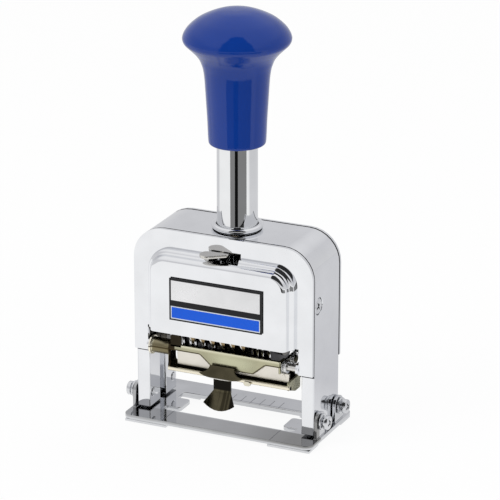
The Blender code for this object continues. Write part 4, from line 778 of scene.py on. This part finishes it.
def walled(mesh, thickness, offset=0.0, slot=None):
    """The sheet with its wall's thickness, and an oblong slot through it between two corners (x, z)."""
    if slot:
        form = bmesh.new()
        form.from_mesh(mesh)
        for x, z in slot:
            for side in ((1, 0, 0), (0, 0, 1)):
                bmesh.ops.bisect_plane(form, geom=form.verts[:] + form.edges[:] + form.faces[:],
                                       plane_co=(x, 0, z), plane_no=side)
        (left, low), (right, high) = slot
        spots = [(face, face.calc_center_median()) for face in form.faces]
        inside = [face for face, spot in spots if left < spot.x < right and low < spot.z < high]
        bmesh.ops.delete(form, geom=inside, context="FACES")
        form.to_mesh(mesh)
        form.free()
    made = in_scene("sheet", mesh)
    wall = made.modifiers.new("wall", "SOLIDIFY")
    wall.thickness = thickness
    wall.offset = offset
    wall.use_even_offset = True
    solid = bpy.data.meshes.new_from_object(made.evaluated_get(bpy.context.evaluated_depsgraph_get()))
    bpy.data.objects.remove(made, do_unlink=True)
    name = mesh.name
    bpy.data.meshes.remove(mesh)
    solid.name = name
    return solid


tooth_edges = np.stack((COMB_TEETH - TOOTH_HALF, COMB_TEETH + TOOTH_HALF), 1)
band_edges = np.concatenate(((-COMB_HALF,), tooth_edges.ravel(), (COMB_HALF,)))
comb_grids = [strip_round((left, left), (right, right), COMB_START, COMB_BAND, 13)
              for left, right in zip(band_edges, band_edges[1:])]
for left, right in tooth_edges:
    comb_grids.append(strip_round((left, left), (right, right), COMB_BAND, COMB_SHOULDER, 5))
    comb_grids.append(strip_round((left, left + TAPER_LEFT), (right, right - TAPER_RIGHT), COMB_SHOULDER,
                                  COMB_TIP, 7))
brass = metal("brass", (0.36, 0.27, 0.15), 0.24, dust=0.12)
comb_x, _, comb_z = places(brass)
drop = TAPER_HIGH - comb_z
lean = drop.maths("MAXIMUM", drop, 0.0) * TAPER_LEAN
tooth_place = (comb_x - (COMB_TEETH[0] - TOOTH_HALF) - lean) / TOOTH_PITCH
# A near-white line down the left edge of each tooth, following its taper, below a set height.
pale_tooth_edge = (tooth_place - tooth_place.maths("FLOOR", tooth_place)).bands(0.04, 0.065, 0.03)
tinted(brass, pale_tooth_edge * (1 - comb_z.above(PALE_EDGE_TOP, 0.0003)), (0.82, 0.82, 0.8))
placed(walled(sheet_mesh("brass_comb", comb_grids), COMB_SHEET), brass, "brass", "plunger", "detent_comb")

# Pawls
# A steel yoke swings on the wheels' axle and carries, on its rod, a comb of spring-steel pawls that
# step the ratchets.
paint(dark_steel, "pawl_yoke")
paint(spring_steel, "pawl_comb")

# Covers
# The front cover is 1.2 mm sheet drawn into a hood with a stepped rim, open below, with a slot for
# the selector and two small ears for the ink carrier's pins; the rear cover is flat sheet. Both are
# polished and chromed.
COVER_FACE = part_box("back_cover")[1][1]
COVER_HALF, COVER_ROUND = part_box("back_cover")[1][0], 0.011
HOOD_HALF, HOOD_HIGH, HOOD_ROUND = 0.02706, 0.0635, 0.008
HOOD_SHEET, HOOD_LEDGE = 0.0012, 0.0009
BACK_EDGE, BACK_SEAM = 0.00128, 0.00011
MOUTH_HALF, MOUTH_HIGH = 0.028, 0.0345
SELECTOR_SLOT = ((-0.004, 0.0619), (0.0068, 0.0651))
CORNER_STEPS, SIDE_STEPS = 25, 6
RIM = ((0.0, 0.0), (0.02, 0.6), (0.1, 1.1), (0.32, 1.62), (0.72, 1.98), (1.14, 2.2), (1.45, 2.5),
       (1.66, 3.0), (1.86, 3.66), (2.22, 4.3), (2.78, 4.78), (3.4, 5.0))


def arch_line(half, high, low, radius):
    """Points (x, z) up the left side, round two corners of radius and down the right side."""
    turn = np.linspace(math.pi, math.pi / 2, CORNER_STEPS)
    corner = np.stack((radius * np.cos(turn) - half + radius, radius * np.sin(turn) + high - radius), 1)
    rise = np.linspace(low, high - radius, SIDE_STEPS, endpoint=False)
    side = np.stack((np.full(SIDE_STEPS, -half), rise), 1)
    left = np.vstack((side, corner))
    return np.vstack((left, left[::-1] * (-1, 1)))


def hood_rows():
    """Arches from the cover's outer edge over the stepped rim to the hood's flat face: each is the
    hood's outline drawn in by the rim's inset, at the rim's height."""
    rows = [arch_line(COVER_HALF, COVER_HIGH, MOUTH_HIGH, COVER_ROUND),
            arch_line(MOUTH_HALF, HOOD_HIGH + HOOD_LEDGE, MOUTH_HIGH, HOOD_ROUND + HOOD_LEDGE)]
    depths = [-COVER_FACE, -COVER_FACE]
    for inset, proud in curve_through(RIM, 3) / 1000:
        rows.append(arch_line(HOOD_HALF - inset, HOOD_HIGH - inset, MOUTH_HIGH, HOOD_ROUND - inset))
        depths.append(-COVER_FACE - proud)
    flat = np.asarray(rows)
    depth = np.broadcast_to(np.asarray(depths)[:, None, None], flat[..., :1].shape)
    return np.concatenate((flat[..., :1], depth, flat[..., 1:]), 2)


cover_chrome = metal("cover chrome", CHROME, 0.04)
_, cover_y, _ = places(cover_chrome)
# Painted shade: a near-black, duller band round the covers' edges next to the frame, for the shadowed gap.
tinted(cover_chrome, abs(cover_y).bands(COVER_FACE - BACK_EDGE, BACK_SEAM, 0.00003), SEAM_SHADE, dull=0.6)
rings = hood_rows()
strips = [[(side * x, -COVER_FACE, z) for x, z in ((MOUTH_HALF, COVER_LOW), (COVER_HALF, COVER_LOW),
                                                  (COVER_HALF, MOUTH_HIGH), (MOUTH_HALF, MOUTH_HIGH))]
          for side in (-1, 1)]
hood_mesh = sheet_mesh("front_hood", [rings], [rings[-1], *strips])
if sum(face.normal.y * face.area for face in hood_mesh.polygons) > 0:
    hood_mesh.flip_normals()
placed(walled(hood_mesh, HOOD_SHEET, -1, SELECTOR_SLOT), cover_chrome, "chrome", "base", "front_cover")
softened("back_cover", cover_chrome, 0.0003)

EAR_HEIGHT, EAR_RADIUS, EAR_SHEET, EAR_FRONT, EAR_BACK = 0.0272, 0.0022, 0.0008, -0.011, -0.0045
for side, word in ((-1, "left"), (1, "right")):
    turn = np.linspace(math.pi / 2, 3 * math.pi / 2, 13)
    nose = np.stack((EAR_FRONT + EAR_RADIUS * np.cos(turn), EAR_HEIGHT + EAR_RADIUS * np.sin(turn)), 1)
    outline = np.vstack((nose, [(EAR_BACK, EAR_HEIGHT - EAR_RADIUS), (EAR_BACK, EAR_HEIGHT + EAR_RADIUS)]))
    levels = [np.column_stack((np.full(len(outline), side * x), outline))
              for x in (MOUTH_HALF, MOUTH_HALF - EAR_SHEET)]
    placed(joined_rows(f"hinge_ear_{word}", np.stack(levels), True, "caps"), chrome, "chrome", "base")

# Cover screws
# Countersunk steel screws with a cross recess, flush in the frame's side walls, that hold the
# covers' lugs.
FLUSH_RADIUS, FLUSH_SIDE, FLUSH_SHANK, FLUSH_DOME = 0.0027, 0.0009, 0.0014, 0.0002
for word in ("left", "right"):
    cross_screw(f"flush_screw_{word}", f"cover_screw_{word}", FLUSH_RADIUS, FLUSH_SIDE, FLUSH_SHANK,
                FLUSH_DOME)

# Label
# Thin anodised plate stuck on the hood's flat face: a black border, a satin silver field, and a blue
# stripe with a pale outline.
LABEL_LEFT, LABEL_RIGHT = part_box("label_plate")[0][0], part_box("label_plate")[1][0]
LABEL_LOW, LABEL_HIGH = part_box("label_plate")[0][2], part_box("label_plate")[1][2]
LABEL_BLACK, LABEL_PALE = (0.012, 0.012, 0.014, 1), (0.7, 0.75, 0.8, 1)
LABEL_BLUE = (0.008, 0.11, 0.72, 1)
FIELD_MIDDLE, FIELD_HALF, STRIPE_MIDDLE, STRIPE_OUTLINE, STRIPE_HALF = 0.285, 0.235, 0.19, 0.15, 0.128


def label_print():
    """Satin silver with a black print and a blue stripe, laid out in shares of the label's height."""
    made = metal("label print", (0.86, 0.86, 0.87), 0.28, dust=0.04, grain=(300, 9000, 9000))
    shader = made.node_tree.nodes["Principled BSDF"]
    shader.inputs["Specular IOR Level"].default_value = 0.2
    x, _, z = places(made)
    middle, half = (LABEL_LEFT + LABEL_RIGHT) / 2, (LABEL_RIGHT - LABEL_LEFT) / 2
    height = LABEL_HIGH - LABEL_LOW
    field, stripe = LABEL_HIGH - height * FIELD_MIDDLE, LABEL_LOW + height * STRIPE_MIDDLE
    silver = x.bands(middle, half - 0.0007, 0.0001) * z.bands(field, height * FIELD_HALF, 0.0001)
    outline = x.bands(middle, half - 0.0006, 0.0001) * z.bands(stripe, height * STRIPE_OUTLINE, 0.0001)
    blue = x.bands(middle, half - 0.0009, 0.0001) * z.bands(stripe, height * STRIPE_HALF, 0.0001)
    silver_tint = Shade(made.node_tree, shader.inputs["Base Color"].links[0].from_socket)
    tint = silver.mixed(LABEL_BLACK, silver_tint)
    tint = outline.mixed(tint, LABEL_PALE)
    blue.mixed(tint, LABEL_BLUE).link(shader, "Base Color")
    (silver * 0.85).link(shader, "Metallic")
    return made


softened("label_plate", label_print(), 0.0001)

# Selector
# Flat nickelled lever, held on the guide's sleeve by a clip below it; its bent end comes out of the
# slot and picks how often a number repeats.
nickel = metal("nickel", (0.72, 0.70, 0.66), 0.12, dust=0.05)
softened("repeat_selector", nickel, 0.0001)
# Painted shade: the clip, seen through the selector's slot, is made near black for the shade inside the
# hood.
clip_slot_shade = metal("clip in slot shade", (0.02, 0.02, 0.022), 0.4, dust=0.1)
paint(clip_slot_shade, "selector_clip")

# Ink carrier
# Yellow-zinc plated sheet, folded, with a rolled barrel on the left pin and a window plate in front.
# It hangs on two pins in the cover's ears and swings forward as the plunger comes down.
CARRIER_FACE, ARM_SHEET = -0.0134, 0.0008
ARM_LEFT, ARM_MIDDLE, ARM_RIGHT, ARM_ROUND = -0.0188, -0.01685, -0.0149, 0.00195
ARM_LOW, ARM_HIGH, ARM_CROWN = 0.0286, 0.0322, 0.0008
WINDOW_LEFT, WINDOW_RIGHT, WINDOW_TOP, WINDOW_FOOT = -0.008, 0.0165, 0.0272, 0.0235
SLOPE_ACROSS, SLOPE_UP = 0.647, 0.763
CARRIER_MIDDLE = 0.00425
FOLD_START, BARREL_MIDDLE, ARM_EDGE, FLANGE_MIDDLE = 0.0287, -0.0225, -0.0185, -0.0268
WINDOW_EDGE_SHADOW, LIP_TROUGH_SHADE, CREAM = (0.05, 0.035, 0.015), (0.01, 0.009, 0.007), (0.9, 0.84, 0.68)


def yellow_zinc():
    """Pale yellow zinc: olive in front with a painted highlight on the fold on top and a painted sheen
    below it, brown with oil on the barrel, near black on the left arm, a cream flange at the barrel's
    end, painted shadow along the window's edges, and painted shade in the trough behind the lip."""
    made = metal("yellow zinc", (0.52, 0.50, 0.34), 0.26, dust=0.12, peel=0.06)
    x, y, z = places(made)
    front = 1 - y.above(-0.0124, 0.0001)
    # Painted highlight: the fold on top is paler, and a soft painted sheen lies below it on the front.
    tinted(made, z.above(FOLD_START, 0.0008) * front, (0.72, 0.70, 0.52))
    sheen = z.bands(0.0262, 0.0022, 0.003) * x.bands(0.0045, 0.007, 0.006)
    tinted(made, sheen * front * 0.5, (0.66, 0.67, 0.47))
    tinted(made, x.bands(BARREL_MIDDLE, 0.0033, 0.0012) * 0.8, (0.17, 0.135, 0.07))
    # The left arm is coloured near black down its length.
    dark_arm_band = x.bands(ARM_EDGE, 0.0012, 0.0004) * z.bands(0.0253, 0.0062, 0.0006)
    tinted(made, dark_arm_band, (0.035, 0.026, 0.015))
    tinted(made, x.bands(FLANGE_MIDDLE, 0.0009, 0.0002), (0.93, 0.88, 0.74))
    # Painted shadow: a dark line along the window's slanting edges, its top corners and its foot, for the
    # shadow at the tongue's edges.
    fall = (z - WINDOW_TOP) * SLOPE_UP
    left_slope = ((x - WINDOW_LEFT) * SLOPE_ACROSS + fall).bands(0.0002, 0.0003, 0.00015)
    right_slope = ((WINDOW_RIGHT - x) * SLOPE_ACROSS + fall).bands(0.0002, 0.0003, 0.00015)
    slopes = (left_slope + right_slope) * z.bands(0.0253, 0.0021, 0.0001)
    tops = z.bands(0.02745, 0.00025, 0.00012) * abs(x - CARRIER_MIDDLE).above(0.0122, 0.0001)
    foot = z.bands(WINDOW_FOOT, 0.00025, 0.00015) * x.bands(CARRIER_MIDDLE, 0.0077, 0.0002)
    tinted(made, (slopes + tops + foot).clamped() * front * 0.85, WINDOW_EDGE_SHADOW)
    # Painted shade: the trough behind the lip is near black and duller.
    tinted(made, z.bands(0.0200, 0.0006, 0.0003) * y.bands(-0.0122, 0.0007, 0.0002), LIP_TROUGH_SHADE, dull=0.3)
    tinted(made, z.bands(0.0203, 0.0009, 0.0003) * (1 - y.above(-0.0131, 0.0001)), CREAM)
    return made


zinc = yellow_zinc()
softened("ink_carrier", zinc, 0.00018)
arm_turn = np.linspace(0, math.pi, 9)
arm_top = np.stack((ARM_MIDDLE + ARM_ROUND * np.cos(arm_turn), ARM_HIGH + ARM_CROWN * np.sin(arm_turn)), 1)
arm_line = np.vstack(([(ARM_RIGHT, ARM_LOW)], arm_top, [(ARM_LEFT, ARM_LOW)]))
arm_rows = np.stack([np.column_stack((arm_line[:, 0], np.full(len(arm_line), y), arm_line[:, 1]))
                     for y in (CARRIER_FACE, CARRIER_FACE + ARM_SHEET)])
# The arm's rounded top is made near black as well.
dark_arm_zinc = metal("dark arm zinc", (0.05, 0.04, 0.025), 0.35, dust=0.2)
placed(joined_rows("carrier_arm_top", arm_rows, True, "caps"), dark_arm_zinc, "yellow_zinc", "carrier")
pin_steel = metal("pin steel", (0.7, 0.69, 0.66), 0.12, dust=0.06)
softened("carrier_pin_left", pin_steel, 0.0001)
softened("carrier_pin_right", pin_steel, 0.0001)

# Carrier link
# Chromed steel link with two bosses. One sits on the carrier's right pin, and the other holds an
# olive zinc-plated pin.
softened("carrier_link", metal("link chrome", (0.8, 0.8, 0.8), 0.08, dust=0.05), 0.00015)
softened("link_pin", metal("olive pin", (0.2, 0.19, 0.12), 0.3, dust=0.1), 0.0001)

# Ink tray and felt
# Nickelled steel tray that slides into the carrier from the front, with a felt pad full of black
# ink.
TRAY_LOW, TRAY_FRONT = 0.0216, -0.0095
PAD_SQUARE, PAD_FALL, PAD_COLUMNS, PAD_ROWS = 8, 0.4, 41, 25
tray_cream = metal("tray plate", (0.86, 0.82, 0.74), 0.3, dust=0.05, peel=0.1)
_, tray_y, tray_z = places(tray_cream)
# Painted shade: the tray's front is near black and duller low down behind the carrier's lip, for the dark
# gap there.
tray_lip_shade = (1 - tray_z.above(TRAY_LOW, 0.0002)) * (1 - tray_y.above(TRAY_FRONT, 0.0002))
tinted(tray_cream, tray_lip_shade, (0.012, 0.01, 0.007), dull=0.3)
softened("ink_tray", tray_cream, 0.0001)


def ink_felt():
    """Black inked felt with fibres in its colour and height."""
    made, shader, start = new_finish("ink felt")
    place = start.node("ShaderNodeTexCoord", {}, {}, "Object")
    fibres = start.node("ShaderNodeTexNoise", {}, {"Vector": place, "Scale": 2600.0, "Detail": 6.0})
    patches = start.node("ShaderNodeTexNoise", {}, {"Vector": place, "Scale": 150.0, "Detail": 2.0})
    (fibres * 0.6 + patches * 0.4).mixed((0.008, 0.008, 0.012, 1), (0.045, 0.045, 0.06, 1)).link(
        shader, "Base Color")
    (0.75 + patches * 0.3).clamped().link(shader, "Roughness")
    bump = start.node("ShaderNodeBump", {}, {"Height": fibres, "Strength": 0.6, "Distance": 0.0003})
    bump.link(shader, "Normal")
    return made


def felt_pad():
    """Pad crowned over u and v from -1 to 1: its height falls at the rim as ((1 - u^8)(1 - v^8))^0.4,
    and its sides close on a flat underside."""
    low, high = (np.asarray(corner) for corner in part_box("ink_pad"))
    middle, half = (low + high) / 2, (high - low) / 2
    u, v = np.meshgrid(np.sin(np.linspace(-math.pi / 2, math.pi / 2, PAD_COLUMNS)),
                       np.sin(np.linspace(-math.pi / 2, math.pi / 2, PAD_ROWS)), indexing="ij")
    crown = low[2] + (high[2] - low[2]) * ((1 - u ** PAD_SQUARE) * (1 - v ** PAD_SQUARE)) ** PAD_FALL
    top = np.stack((middle[0] + half[0] * u, middle[1] + half[1] * v, crown), 2)
    under = np.stack((top[..., 0], top[..., 1], np.full_like(u, low[2])), 2)
    return sheet_mesh("felt_pad", [top, under])


placed(felt_pad(), ink_felt(), "ink_felt", "carrier", "ink_pad")

# Pull tab and clip
# Dark brass leaf, neck and fan-shaped grip that pull the tray out, oiled, with a painted highlight
# along the leaf's front edge, and a small pale brass clip beside them.
FAN_TOP, FAN_EDGE = 0.0165, 0.0057


def dark_brass():
    """Dark olive brass with streaks down the fan, painted shade in the fan's fold, painted shadow on
    the neck, and a painted highlight along the leaf's front edge.
    """
    made = metal("dark brass", (0.16, 0.14, 0.085), 0.22, dust=0.2, peel=0.05, grain=(1400, 1400, 60))
    x, y, z = places(made)
    start = Shade(made.node_tree)
    along = start.node("ShaderNodeVectorMath", {"operation": "MULTIPLY"}, {
        0: start.node("ShaderNodeTexCoord", {}, {}, "Object"), 1: (900, 0, 40)})
    streaks = start.node("ShaderNodeTexNoise", {}, {"Vector": along, "Scale": 1.0, "Detail": 1.0})
    fan = 1 - z.above(FAN_TOP, 0.001)
    tinted(made, streaks.above(0.56, 0.12) * fan * 0.7, (0.02, 0.017, 0.01))
    # Painted shade: a near-black band in the fold down the fan's right side.
    tinted(made, x.bands(FAN_EDGE, 0.0011, 0.0006) * fan, (0.015, 0.013, 0.01))
    # Painted shadow: the neck under the leaf is near black.
    tinted(made, z.bands(0.0180, 0.0018, 0.0004) * (1 - y.above(-0.0125, 0.0002)) * y.above(-0.0155, 0.0003),
           (0.012, 0.011, 0.009))
    # Painted highlight: a near-white line along the leaf's front edge.
    tinted(made, z.bands(0.02035, 0.0005, 0.0002) * (1 - y.above(-0.0160, 0.0002)), (0.95, 0.93, 0.86))
    return made


softened("tray_tab", dark_brass(), 0.0001)
softened("tray_clip", metal("clip brass", (0.8, 0.76, 0.62), 0.15, dust=0.08), 0.0001)
